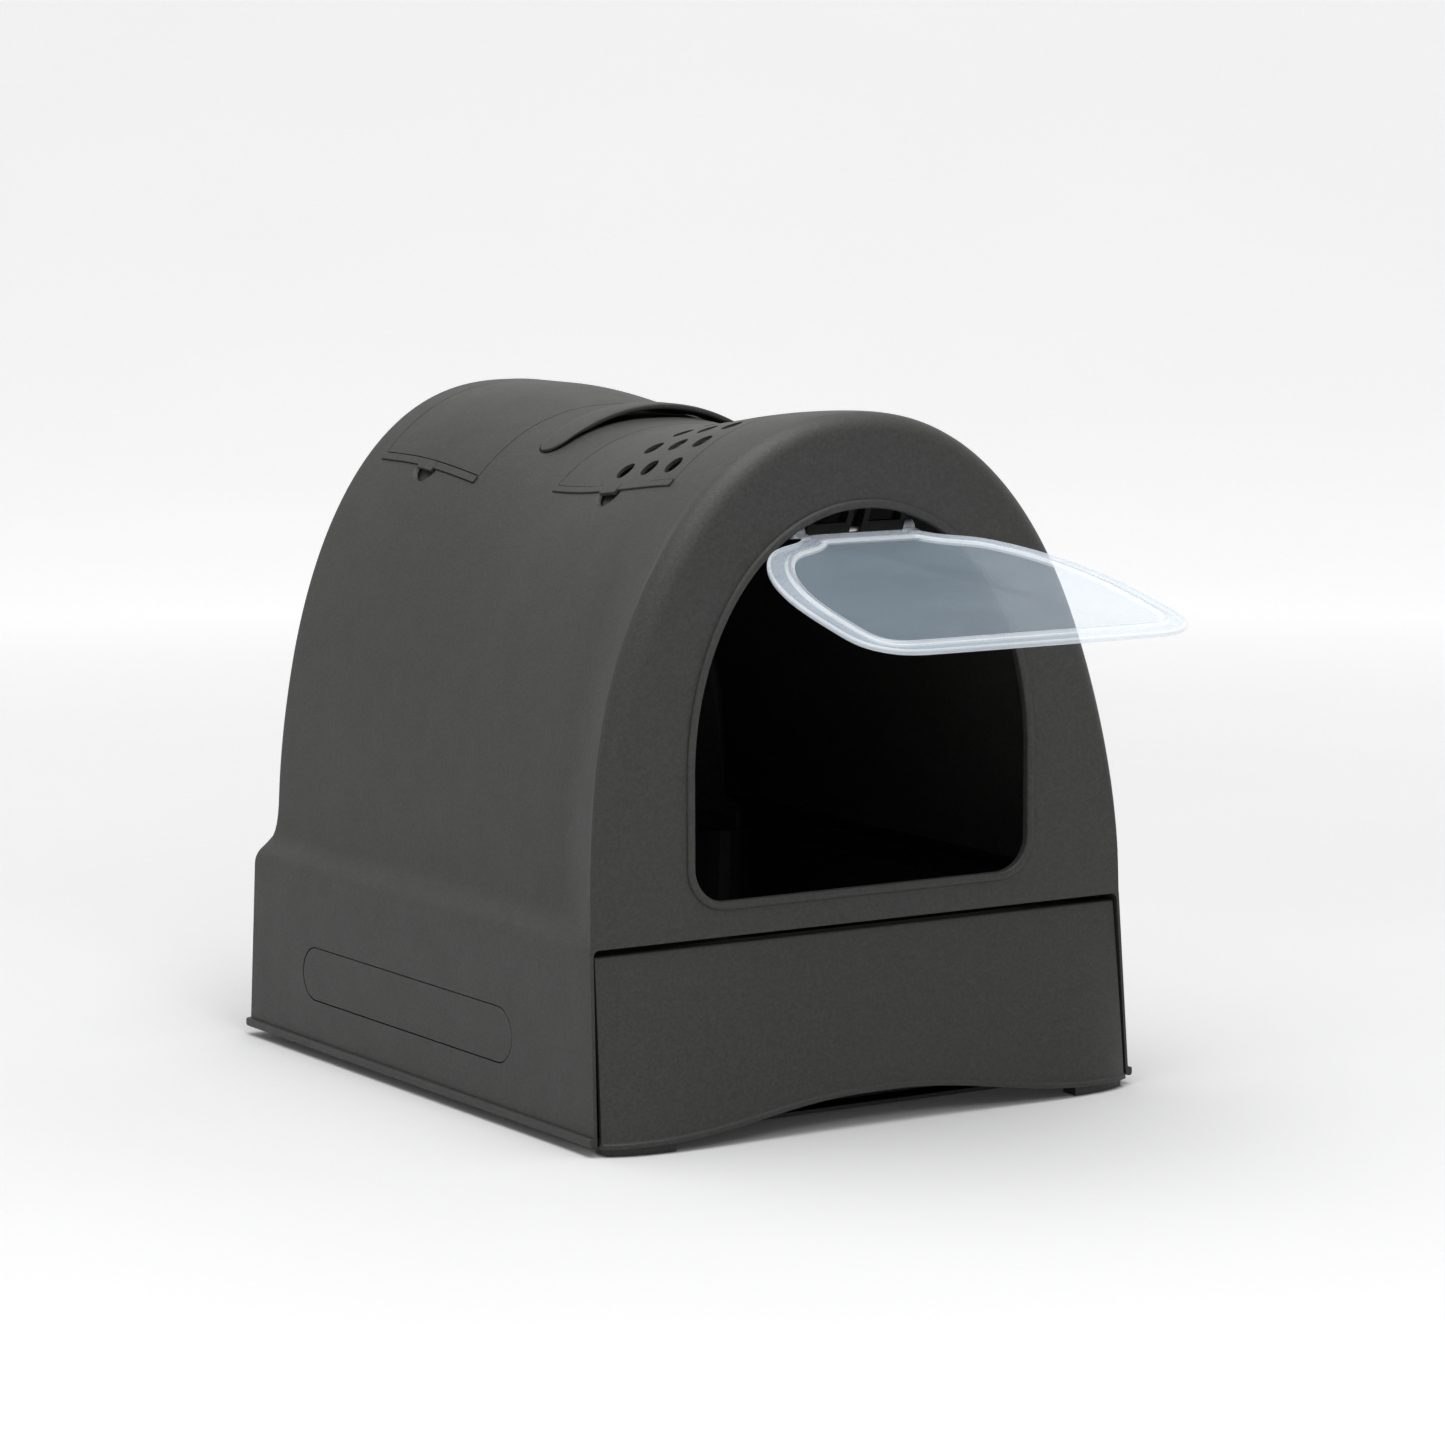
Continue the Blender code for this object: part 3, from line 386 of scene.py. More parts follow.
def drawer_opening_skin():
    low, corner = -0.02, 0.004
    outline = []
    for side in (1, -1):
        half = skirt_x(DRAWER_TOP) - 0.0021
        centre = (side * (half - corner), DRAWER_TOP - corner)
        arc = [pi / 2 * i / 10 for i in range(11)]
        arc = arc if side == 1 else [pi / 2 + a for a in arc]
        outline += [(centre[0] + corner * cos(a), centre[1] + corner * sin(a)) for a in arc]
    foot = skirt_x(low) - 0.0021
    return prism(outline + [(-foot, low), (foot, low)], 1, -0.27, -0.209)


def scoop_skin(lid):
    """The ball that dishes the finger scoop at the middle of the lid's free edge."""
    point, normal = dome_frame(-lid[0], (lid[1] + lid[2]) / 2)
    normal = Vector((normal.x, 0.0, normal.z)).normalized()
    return ball(point + normal * SCOOP_LIFT, SCOOP_BALL)


def hinge_sides(lid):
    """The hinge's Y range on the lid, and those of the two ears on the hood."""
    middle = (lid[1] + lid[2]) / 2
    inner, outer = middle + HINGE_HALF, middle + HINGE_HALF + EAR_WIDE
    lug = (2 * middle - inner + 0.0003, inner - 0.0003)
    return lug, ((inner, outer), (2 * middle - outer, 2 * middle - inner))


def hinge_point(lid):
    point, normal = dome_frame(lid[0] + 0.0015, (lid[1] + lid[2]) / 2)
    normal = Vector((normal.x, 0.0, normal.z)).normalized()
    return point + normal * HINGE_LIFT, Vector((normal.z, 0.0, -normal.x)), normal


def hinge_lug(lid, low, high, side):
    """A hinge barrel with its web down to the lid (side -1) or to the hood (side +1), as one outline."""
    axis, tangent, normal = hinge_point(lid)
    middle = (low + high) / 2
    reaches = (0.0085, 0.0035) if side > 0 else (0.0138, 0.0084)
    feet = [axis.x + side * reach for reach in reaches]
    outline = [(x, dome_height(x, middle) - 0.0020) for x in feet]
    for along, up in ((side * 0.0006, -0.0026), (side * 0.0022, 0.0021)):
        place = axis + tangent * along + normal * up
        outline.append((place.x, place.z))
    web = prism(outline, 1, low + 0.0004, high - 0.0004)
    barrel = loft([
        [(u, low, v) for u, v in circle((axis.x, axis.z), BARREL_RADIUS)],
        [(u, high, v) for u, v in circle((axis.x, axis.z), BARREL_RADIUS)],
        [(u, high, v) for u, v in circle((axis.x, axis.z), EYE_RADIUS)],
        [(u, low, v) for u, v in circle((axis.x, axis.z), EYE_RADIUS)],
    ], closed=True)
    return merged([web, barrel])


def strap_top(x):
    return STRAP_TOP_Z - STRAP_ARC + sqrt(STRAP_ARC**2 - x * x)


def strap_skin(grow=0.0, above=0.0, rib=0.0, turns=40):
    """The strap along its arc, with round ends and a rib below its rear edge; grown, it is its seat."""
    rings = []
    half_x, half_y = STRAP_HALF_X + grow, STRAP_HALF_Y + grow
    for x in (half_x * sin(pi / 2 * i / turns) for i in range(-turns, turns + 1)):
        thick = STRAP_THICK - (STRAP_THICK - STRAP_END_THICK) * ease(0.050, 0.068, abs(x)) + grow
        end = max(abs(x) - (half_x - half_y), 0.0)
        half = max(sqrt(max(half_y**2 - end**2, 0.0)), 0.0006)
        normal = Vector((x / STRAP_ARC, 0.0, sqrt(1 - (x / STRAP_ARC) ** 2)))
        arc = Vector((x, STRAP_Y, strap_top(x)))
        top, low = arc + normal * above, arc - normal * thick
        ring = []
        for step in range(24):
            a = 2 * pi * (step + 0.5) / 24
            across = abs(cos(a)) ** 0.28 * (1 if cos(a) > 0 else -1)
            up = abs(sin(a)) ** 0.50 * (1 if sin(a) > 0 else -1)
            place = (top + low) / 2 + (top - low) / 2 * up
            if up < 0 and across > 0.6:
                place -= normal * rib * (1 - ease(0.020, 0.045, abs(x)))
            ring.append((place.x, STRAP_Y + half * across, place.z))
        rings.append(ring)
    return loft(rings)


def make_hood():
    hood = solid("hood_moulding", *hood_skin(0.0, LIP_LOW + 0.0006, REAR_Y, FRONT_Y))
    combine(hood, hood_skin(WALL, -0.02, REAR_Y - WALL, FRONT_Y + FRONT_WALL), "DIFFERENCE")
    combine(hood, drawer_opening_skin(), "DIFFERENCE")
    combine(hood, prism(entry_outline(), 1, -0.25, -0.20), "DIFFERENCE")
    for lid in (FILTER_LID, STORAGE_LID):
        opening = dome_patch(lid[0] + LID_SEAM, lid[1] - LID_SEAM, lid[2] + LID_SEAM, -0.004, 0.007, 91, 40)
        combine(hood, opening, "DIFFERENCE")
        combine(hood, scoop_skin(lid), "DIFFERENCE")
    windows = prism(stadium(LATCH_Y, LATCH_Z, LATCH_HALF_LONG, LATCH_HALF_TALL), 0, -0.21, 0.21)
    combine(hood, windows, "DIFFERENCE")
    combine(hood, strap_skin(STRAP_SEAT, 0.004), "DIFFERENCE")
    trough_front, trough_rear = STRAP_Y - TROUGH_HALF, STRAP_Y + TROUGH_HALF
    combine(hood, dome_patch(TROUGH_REACH, trough_front, trough_rear, -0.004, 0.0017, 61, 7), "DIFFERENCE")
    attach(hood, "base")
    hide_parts("hood_shell")
    return hood


def make_entry_bead():
    """The rounded rim round the entry, which closes the cut edge of the face."""
    face, back = FRONT_Y, FRONT_Y + FRONT_WALL + 0.0003
    profile = [(-0.0003, back), (-0.0003, face + 0.0004)]
    for i in range(13):
        a = pi - pi * i / 12
        grow = ENTRY_BEAD / 2 - 0.00015 + (ENTRY_BEAD / 2 + 0.00015) * cos(a)
        profile.append((grow, face - BEAD_PROUD * sin(a) ** 0.8))
    profile += [(ENTRY_BEAD, face + 0.0006), (0.0010, back)]
    rings = []
    for grow, y in profile:
        rings.append([(x, y, z) for x, z in entry_outline(grow)])
    bead = solid("entry_bead", *loft(rings, closed=True), 50)
    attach(bead, "base")
    return bead


def make_lip():
    """The bead round the hood's foot, open at the front, with a rounded section."""
    mid_z, half_z = (LIP_LOW + LIP_HIGH) / 2, (LIP_HIGH - LIP_LOW) / 2
    out_x, out_y, front, corner = LIP_HALF, REAR_FOOT_Y + 0.0027, FRONT_FOOT_Y - 0.0006, 0.004
    path = [(out_x, front + 0.0011), (out_x, out_y - corner)]
    for i in range(1, 9):
        a = pi / 2 * i / 8
        path.append((out_x - corner + corner * cos(a), out_y - corner + corner * sin(a)))
    path += [(-x, y) for x, y in reversed(path)]
    rings = []
    for i, (x, y) in enumerate(path):
        before, after = path[max(i - 1, 0)], path[min(i + 1, len(path) - 1)]
        along = Vector((after[0] - before[0], after[1] - before[1])).normalized()
        outward = Vector((along.y, -along.x))
        ring = []
        for step in range(16):
            a = 2 * pi * (step + 0.5) / 16
            deep = 0.0022 - 0.0022 * cos(a) * abs(cos(a)) ** -0.45
            z = mid_z + half_z * sin(a) * abs(sin(a)) ** -0.45
            ring.append((x - outward.x * deep, y - outward.y * deep, z))
        rings.append(ring)
    lip = solid("hood_lip", *loft(rings), 50)
    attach(lip, "base")
    return lip


def make_ears():
    ears = [(lid, ear) for lid in (FILTER_LID, STORAGE_LID) for ear in hinge_sides(lid)[1]]
    made = solid("hinge_ears", *merged([hinge_lug(lid, low, high, 1) for lid, (low, high) in ears]))
    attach(made, "base")
    return made


# ---------------------------------------------------------------- lids
def dome_strip(left, right, front, rear, outer, inner, along=40):
    """A narrow bar that follows the dome along Y, between two places across it and two depths."""
    rings = []
    for y in np.linspace(front, rear, along + 1):
        corners = ((left, inner), (left, outer), (right, outer), (right, inner))
        rings.append([dome_point(x, y, depth) for x, depth in corners])
    return loft(rings)


def vent_skin(x, row):
    point, normal = dome_frame(x, VENT_FRONT_Y + row * VENT_PITCH_Y)
    across = Vector((normal.z, 0.0, -normal.x)).normalized()
    axes = (across, normal.cross(across), normal)
    return local_prism(point, axes, circle((0.0, 0.0), VENT_RADIUS, 48), -0.006, 0.004)


def make_lid(name, lid, body, node, vents):
    """A lid that follows the dome, with a bar and a tab along its free edge and a barrel at its hinge."""
    half, front, rear = lid
    edge, middle = -half + BAR_WIDE, (front + rear) / 2
    cover = solid(name, *dome_patch(half, front, rear, 0.0, LID_THICK))
    if vents:
        columns = [x * side for x in VENT_X for side in ((1, -1) if x else (1,))]
        places = [(x, row) for x in columns for row in range(VENT_ROWS)]
        combine(cover, merged([vent_skin(x, row) for x, row in places]), "DIFFERENCE")
    groove = dome_strip(edge, edge + 0.0009, front + 0.001, rear - 0.001, -0.001, 0.0009)
    combine(cover, groove, "DIFFERENCE")
    soften(cover, 0.0009)
    bar = dome_strip(-half - 0.0003, edge, front + 0.0002, rear - 0.0002, -0.0012, 0.0014)
    tab = dome_strip(-half - 0.0018, edge, middle - TAB_HALF, middle + TAB_HALF, -0.0016, 0.0014, 10)
    trims = solid(name + "_bar", *merged([bar, tab]))
    soften(trims, 0.0004)
    low, high = hinge_sides(lid)[0]
    lug = solid(name + "_lug", *hinge_lug(lid, low, high, -1))
    soften(lug, 0.0003)
    for piece in (cover, trims, lug):
        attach(piece, body)
    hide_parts(node)
    return [cover, trims, lug]


# ---------------------------------------------------------------- strap, panels and drawer front
def make_strap():
    strap = solid("strap", *strap_skin(rib=STRAP_RIB), 60)
    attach(strap, "base")
    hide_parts("carry_handle")
    return strap


def make_latches():
    made = []
    outline = stadium(LATCH_Y, LATCH_Z, LATCH_HALF_LONG - LATCH_SEAM, LATCH_HALF_TALL - LATCH_SEAM)
    for side, name in ((-1, "left"), (1, "right")):
        rings = []
        for depth in (0.0001, WALL):
            rings.append([(side * (skirt_x(z) - depth), y, z) for y, z in outline])
        posts = []
        for y in (LATCH_Y - 0.095, LATCH_Y + 0.095):
            ends = sorted((side * (skirt_x(LATCH_Z) - 0.0012), side * 0.1867))
            posts.append(prism(circle((y, LATCH_Z), 0.004), 0, *ends))
        panel = solid("press_panel_" + name, *merged([loft(rings)] + posts))
        soften(panel, 0.0005)
        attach(panel, "latch_" + name)
        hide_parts("side_latch_" + name)
        made.append(panel)
    return made


def panel_low(x):
    """Lower edge of the drawer front, which arches up in the middle as a finger grip."""
    return PANEL_LOW + PANEL_WAVE * np.exp(-((abs(x) / PANEL_WAVE_HALF) ** 2.5))


def panel_y(x, z):
    """The drawer front's outer face: it leans out towards its foot and bulges between its ends."""
    share = (PANEL_TOP - z) / (PANEL_TOP - PANEL_LOW)
    end = min(abs(x) / (PANEL_HALF + 0.0022), 1.0)
    return -0.2178 - 0.0107 * share - PANEL_BULGE * share * (1 - end**10)


def make_drawer_front():
    """A curved panel with a thin proud rim along its lower edge and a lip turned back at its top."""
    rings = []
    back, bend = PANEL_TOP - 0.0022, PANEL_TOP - 0.0015
    for i in range(-70, 71):
        along = sin(pi / 2 * i / 70)
        low = panel_low(along * PANEL_HALF)
        tall = PANEL_TOP - low
        ring = [(low, WALL), (low, -PANEL_RIM_OUT + 0.0007), (low + 0.0002, -PANEL_RIM_OUT + 0.0002)]
        ring += [(low + 0.0007, -PANEL_RIM_OUT), (low + PANEL_RIM - 0.0006, -PANEL_RIM_OUT)]
        ring += [(low + PANEL_RIM - 0.0001, -PANEL_RIM_OUT + 0.0005), (low + PANEL_RIM, -0.0003)]
        ring += [(low + PANEL_RIM + 0.0004, 0.0)]
        ring += [(low + 0.0045 + (tall - 0.0060) * step / 22, 0.0) for step in range(23)]
        turns = (pi / 8, pi / 4, 3 * pi / 8)
        ring += [(bend + 0.0015 * sin(a), 0.0015 - 0.0015 * cos(a)) for a in turns]
        ring += [(PANEL_TOP, 0.0015), (PANEL_TOP, 0.0103), (back, 0.0103), (back, WALL)]
        ring += [(low + tall * step / 8, WALL) for step in range(7, 0, -1)]
        points = []
        for z, depth in ring:
            x = along * (PANEL_HALF + 0.0022 * (PANEL_TOP - z) / (PANEL_TOP - PANEL_LOW))
            points.append((x, panel_y(x, z) + depth, z))
        rings.append(points)
    front = solid("drawer_panel", *loft(rings), 35)
    soften(front, 0.0004, 55, 2)
    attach(front, "drawer")
    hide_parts("drawer_front")
    return front


# ---------------------------------------------------------------- entry flap
def entry_half_width(z):
    if z <= ENTRY_SPRING:
        return ENTRY_HALF
    rise = min((z - ENTRY_SPRING) / (ENTRY_TOP - ENTRY_SPRING), 1.0)
    return ENTRY_HALF * (1 - rise**ENTRY_POWER) ** (1 / ENTRY_POWER)


def flap_half(length):
    """Half width of the flap at a distance from its hinge, which clears the entry all through its swing."""
    reach = FLAP_Y - FRONT_Y + 0.0035
    drop = sqrt(max(length**2 - reach**2, 0.0))
    return entry_half_width(FLAP_Z - drop + 0.002) - 0.004


def smoothed(outline, rounds):
    """Rounds a dense closed outline by averaging each point with its neighbours."""
    points = np.array(outline)
    for _ in range(rounds):
        points = points * 0.5 + (np.roll(points, 1, axis=0) + np.roll(points, -1, axis=0)) * 0.25
    return points


def resampled(outline, count):
    """The closed outline with points at even distances."""
    points = np.array(list(outline) + [outline[0]])
    along = np.concatenate([[0.0], np.cumsum(np.linalg.norm(np.diff(points, axis=0), axis=1))])
    places = np.linspace(0.0, along[-1], count, endpoint=False)
    return np.stack([np.interp(places, along, points[:, axis]) for axis in (0, 1)], axis=1)


FLAP_POINTS = 360
# each band's material, from the front's middle round the edge to the back: 0 rim (whiter, partly a painted
# edge highlight), 1 channel, 2 middle
FLAP_ZONES = (0, 0, 1, 0, 0, 1, 1, 1, 0, 0, 0, 0, 0, 1, 1, 1, 1, 0, 1, 0, 0, 2)


def flap_outline():
    """The flap below its hinge at (0, 0), as x and z: narrow neck, wide shoulders, round lower corners."""
    top, neck, corner = 0.0078, 0.0180, 0.030
    side = [(flap_half(top), -top), (flap_half(neck), -neck)]
    for i in range(25):
        length = 0.027 + (FLAP_LENGTH - corner - 0.027) * i / 24
        side.append((flap_half(length), -length))
    x = side[-1][0]
    for i in range(1, 17):
        a = pi / 2 * i / 16
        side.append((x - corner + corner * cos(a), -FLAP_LENGTH + corner - corner * sin(a)))
    outline = [(-u, v) for u, v in side] + list(reversed(side))
    return offset_ring(smoothed(resampled(outline, FLAP_POINTS), 14), 0.0001)


def inner_outline(inset, rounds):
    """The flap's outline drawn in by a distance in six steps, with its corners kept round."""
    ring = flap_outline()
    for _ in range(6):
        ring = offset_ring(smoothed(ring, 3), inset / 6)
    return smoothed(ring, rounds)


def make_flap():
    """A thin moulding: a turned-up flange round it, a channel, a ridge and a flat middle."""
    sheet = FLAP_SHEET / 2
    front = (
        (0.0165, -sheet), (0.0152, -sheet - 0.0005), (0.0143, -sheet - 0.0015), (0.0122, -sheet - 0.0015),
        (0.0112, -sheet - 0.0004), (0.0104, -sheet), (0.0040, -sheet), (0.0033, -sheet - 0.0001),
        (0.0020, -sheet - 0.0004), (0.0008, -sheet - 0.0002), (0.0002, -sheet + 0.0003),
    )
    back = (
        (0.0000, 0.0), (0.0002, sheet + 0.0009), (0.0010, sheet + 0.0013), (0.0026, sheet + 0.0013),
        (0.0034, sheet + 0.0006), (0.0040, sheet), (0.0116, sheet), (0.0124, sheet - 0.0009),
        (0.0142, sheet - 0.0009), (0.0150, sheet), (0.0165, sheet),
    )
    rings = []
    for inset, y in front + back:
        rings.append([(x, y, z) for x, z in inner_outline(inset, 2)])
    points, faces = prism(rounded(0.0039, 0.0060, 0.0010), 1, -0.7 * sheet, 0.7 * sheet)
    parts = []
    for x in (-0.0399, 0.0399):
        parts.append(([(p[0] + x, p[1], p[2] - 0.0065) for p in points], faces))
    for low in (-0.0439, 0.0359):
        ends = ((low, 0.0040), (low + 0.0080, 0.0040), (low + 0.0080, FLAP_EYE), (low, FLAP_EYE))
        barrel = [[(x, u, v) for u, v in circle((0.0, 0.0), radius)] for x, radius in ends]
        parts.append(loft(barrel, closed=True))
    flap = solid("clear_flap", *loft(rings), 60)
    lugs = solid("clear_flap_lugs", *merged(parts), 40)
    for piece in (flap, lugs):
        turn = Matrix.Translation((0.0, FLAP_Y, FLAP_Z)) @ Matrix.Rotation(-FLAP_OPEN, 4, "X")
        piece.data.transform(turn)
        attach(piece, "flap")
    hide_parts("entry_flap")
    return [flap, lugs]


# ---------------------------------------------------------------- materials
class Graph:
    """Short calls for a material's nodes."""

    def __init__(self, name):
        self.material = bpy.data.materials.new(name)
        self.material.use_nodes = True
        self.tree = self.material.node_tree
        self.shader = self.tree.nodes["Principled BSDF"]
        self.place = self.add("ShaderNodeTexCoord").outputs["Object"]

    def add(self, kind, **values):
        made = self.tree.nodes.new(kind)
        for name, value in values.items():
            setattr(made, name, value)
        return made

    def link(self, out, into):
        self.tree.links.new(out, into)

    def noise(self, scale, detail=2.0, roughness=0.5, stretch=None):
        made = self.add("ShaderNodeTexNoise")
        made.inputs["Scale"].default_value = scale
        made.inputs["Detail"].default_value = detail
        made.inputs["Roughness"].default_value = roughness
        place = self.place
        if stretch:
            mapping = self.add("ShaderNodeMapping")
            mapping.inputs["Scale"].default_value = stretch
            self.link(place, mapping.inputs["Vector"])
            place = mapping.outputs["Vector"]
        self.link(place, made.inputs["Vector"])
        return made.outputs["Fac"]

    def cells(self, scale, smoothness=0.6):
        made = self.add("ShaderNodeTexVoronoi", feature="SMOOTH_F1")
        made.inputs["Scale"].default_value = scale
        made.inputs["Smoothness"].default_value = smoothness
        self.link(self.place, made.inputs["Vector"])
        return made.outputs["Distance"]

    def ranged(self, value, low, high, from_low=0.25, from_high=0.75):
        made = self.add("ShaderNodeMapRange")
        made.inputs["From Min"].default_value = from_low
        made.inputs["From Max"].default_value = from_high
        made.inputs["To Min"].default_value = low
        made.inputs["To Max"].default_value = high
        self.link(value, made.inputs["Value"])
        return made.outputs["Result"]

    def mixed(self, factor, first, second, blend_type="MIX"):
        made = self.add("ShaderNodeMix", data_type="RGBA", blend_type=blend_type)
        for socket, value in ((made.inputs[0], factor), (made.inputs[6], first), (made.inputs[7], second)):
            if isinstance(value, bpy.types.NodeSocket):
                self.link(value, socket)
            elif isinstance(value, (float, int)):
                socket.default_value = value
            else:
                socket.default_value = (*value, 1.0)
        return made.outputs[2]

    def bump(self, height, strength, distance, under=None):
        made = self.add("ShaderNodeBump")
        made.inputs["Strength"].default_value = strength
        made.inputs["Distance"].default_value = distance
        self.link(height, made.inputs["Height"])
        if under:
            self.link(under, made.inputs["Normal"])
        return made.outputs["Normal"]

    def finish(self, colour, roughness, normal=None):
        self.link(colour, self.shader.inputs["Base Color"])
        self.link(roughness, self.shader.inputs["Roughness"])
        if normal:
            self.link(normal, self.shader.inputs["Normal"])
        return self.material


def moulded_plastic(name, dark, light, rough=(0.54, 0.61), grain=0.60, specular=0.5):
    """Fine spark-grained plastic: pebbled bump, a faint speckle and slow changes of tone and gloss."""
    graph = Graph(name)
    pebble = graph.cells(1150)
    fine = graph.noise(2300, 2.0, 0.6)
    slow = graph.noise(7.0, 3.0, 0.55)
    speckle = graph.noise(480, 3.0, 0.75)
    tone = graph.mixed(graph.ranged(slow, 0.0, 1.0, 0.3, 0.7), dark, light)
    worn = graph.mixed(graph.ranged(speckle, 0.0, 0.90, 0.40, 0.68), tone, [c * 1.6 for c in light])
    gloss = graph.ranged(graph.noise(36, 4.0, 0.6), rough[0], rough[1])
    coarse = graph.bump(pebble, grain, 0.00022)
    normal = graph.bump(fine, grain * 0.6, 0.00010, coarse)
    wave = graph.bump(graph.noise(24, 2.0, 0.5), 0.03, 0.0012, normal)
    graph.shader.inputs["Specular IOR Level"].default_value = specular
    return graph.finish(worn, gloss, wave)


def clear_plastic(name, colour, alpha, rough):
    """Milky polypropylene: part see-through, with flow marks and a soft gloss."""
    graph = Graph(name)
    haze = graph.noise(16, 3.0, 0.55, (1.0, 3.0, 1.0))
    cloud = graph.ranged(haze, 0.0, 1.0, 0.3, 0.7)
    tone = graph.mixed(cloud, colour, [min(c * 1.12, 1.0) for c in colour])
    gloss = graph.ranged(graph.noise(60, 3.0, 0.6), rough, rough + 0.10)
    normal = graph.bump(graph.noise(30, 2.0, 0.5), 0.02, 0.0008)
    graph.shader.inputs["Alpha"].default_value = alpha
    graph.shader.inputs["IOR"].default_value = 1.49
    graph.shader.inputs["Specular IOR Level"].default_value = 0.5
    return graph.finish(tone, gloss, normal)


def felt(name):
    graph = Graph(name)
    fibres = graph.noise(900, 6.0, 0.75, (1.0, 0.35, 1.0))
    tone = graph.mixed(graph.ranged(fibres, 0.0, 1.0), (0.008, 0.008, 0.008), (0.035, 0.035, 0.036))
    gloss = graph.ranged(graph.noise(300), 0.85, 0.98)
    normal = graph.bump(fibres, 0.9, 0.0009)
    graph.shader.inputs["Sheen Weight"].default_value = 0.15
    return graph.finish(tone, gloss, normal)


def drawn_steel(name):
    graph = Graph(name)
    lines = graph.noise(2500, 2.0, 0.5, (0.05, 0.05, 1.0))
    tone = graph.mixed(graph.ranged(lines, 0.0, 1.0), (0.42, 0.42, 0.43), (0.60, 0.60, 0.60))
    gloss = graph.ranged(graph.noise(500), 0.26, 0.42)
    graph.shader.inputs["Metallic"].default_value = 1.0
    return graph.finish(tone, gloss, graph.bump(lines, 0.25, 0.0001))


def foot_rubber(name):
    graph = Graph(name)
    pores = graph.noise(1400, 4.0, 0.7)
    tone = graph.mixed(graph.ranged(pores, 0.0, 1.0), (0.013, 0.013, 0.013), (0.024, 0.024, 0.024))
    gloss = graph.ranged(graph.noise(200), 0.72, 0.9)
    return graph.finish(tone, gloss, graph.bump(pores, 0.5, 0.0003))


def backdrop_paper(name):
    graph = Graph(name)
    tone = graph.mixed(graph.ranged(graph.noise(2.0), 0.0, 1.0), (0.69, 0.69, 0.695), (0.71, 0.71, 0.715))
    graph.shader.inputs["Specular IOR Level"].default_value = 0.1
    graph.shader.inputs["Emission Color"].default_value = (1.0, 1.0, 1.0, 1.0)
    distance = graph.add("ShaderNodeVectorMath", operation="LENGTH")
    graph.link(graph.place, distance.inputs[0])
    glow = graph.ranged(distance.outputs["Value"], *BACKDROP_GLOW)
    graph.link(glow, graph.shader.inputs["Emission Strength"])
    return graph.finish(tone, graph.ranged(graph.noise(5.0), 0.8, 0.9))


def tint_flap(flap, channel, middle):
    """The flap's flat stretches are clearer than its rim and ridge, which are whiter: partly the thicker
    milky plastic, partly a painted highlight along the edges.
    """
    flap.data.materials.append(channel)
    flap.data.materials.append(middle)
    last = len(FLAP_ZONES) - 1
    for face in flap.data.polygons:
        face.material_index = FLAP_ZONES[min(face.index // FLAP_POINTS, last)]


def paint(pieces, finish):
    for piece in pieces:
        piece.data.materials.clear()
        piece.data.materials.append(finish)


# ---------------------------------------------------------------- studio
BACKDROP_GLOW = (0.02, 0.52, 0.4, 2.8)     # near and far strength, near and far distance
WORLD_STRENGTH = 0.33
# name, place, what it points at, side and power
SOFTBOXES = (
    ("overhead", (-0.3, -0.3, 2.3), (0.0, 0.0, 0.2), 2.0, 56),
    ("front", (-0.5, -2.3, 2.0), (0.0, -0.2, 0.35), 0.8, 10),
)
SWEEP_SIDE, SWEEP_START, SWEEP_RADIUS, SWEEP_TOP = 45.0, 4.0, 3.0, 9.0


def make_backdrop():
    """A floor that sweeps up behind the object without a horizon."""
    profile = [(-SWEEP_SIDE, 0.0), (SWEEP_START, 0.0)]
    for i in range(1, 13):
        a = pi / 2 * i / 12
        profile.append((SWEEP_START + SWEEP_RADIUS * sin(a), SWEEP_RADIUS - SWEEP_RADIUS * cos(a)))
    profile.append((SWEEP_START + SWEEP_RADIUS, SWEEP_TOP))
    points, faces = [], []
    for x in (-SWEEP_SIDE, SWEEP_SIDE):
        points += [(x, y, z) for y, z in profile]
    count = len(profile)
    for i in range(count - 1):
        faces.append((i, i + 1, count + i + 1, count + i))
    mesh = bpy.data.meshes.new("backdrop")
    mesh.from_pydata(points, [], faces)
    mesh.shade_smooth()
    mesh.materials.append(backdrop_paper("backdrop_paper"))
    made = bpy.data.objects.new("backdrop", mesh)
    bpy.context.scene.collection.objects.link(made)
    made.rotation_euler = (0.0, 0.0, radians(CAMERA_TURN))


def softbox(name, place, target, size, power):
    data = bpy.data.lights.new(name, "AREA")
    data.shape = "RECTANGLE"
    data.size, data.size_y = size
    data.energy = power
    made = bpy.data.objects.new(name, data)
    made.location = place
    made.rotation_euler = (Vector(target) - Vector(place)).to_track_quat("-Z", "Y").to_euler()
    bpy.context.scene.collection.objects.link(made)


def make_lights():
    for name, place, target, size, power in SOFTBOXES:
        softbox(name, place, target, (size, size), power)
    world = bpy.data.worlds.new("studio")
    world.use_nodes = True
    world.node_tree.nodes["Background"].inputs["Color"].default_value = (1.0, 1.0, 1.0, 1.0)
    world.node_tree.nodes["Background"].inputs["Strength"].default_value = WORLD_STRENGTH
    bpy.context.scene.world = world


CAMERA_TURN = -32.35     # degrees round the object from straight in front, towards its left
CAMERA_PLACE = (-1.60456, -2.61787, 0.62031)
CAMERA_BACK = (-0.53068406, -0.83776186, 0.12856713)
CAMERA_RIGHT = (0.84461772, -0.53536534, -0.00220509)
CAMERA_SHIFT = (-0.0162, -0.0008)


def make_camera():
    data = bpy.data.cameras.new("camera")
    data.lens = 119.03
    data.sensor_width = 36.0
    data.shift_x, data.shift_y = CAMERA_SHIFT
    made = bpy.data.objects.new("camera", data)
    back, right = Vector(CAMERA_BACK), Vector(CAMERA_RIGHT)
    turn = Matrix((right, back.cross(right), back)).transposed().to_4x4()
    made.matrix_world = Matrix.Translation(CAMERA_PLACE) @ turn
    bpy.context.scene.collection.objects.link(made)
    bpy.context.scene.camera = made
    bpy.context.scene.view_settings.view_transform = "Standard"


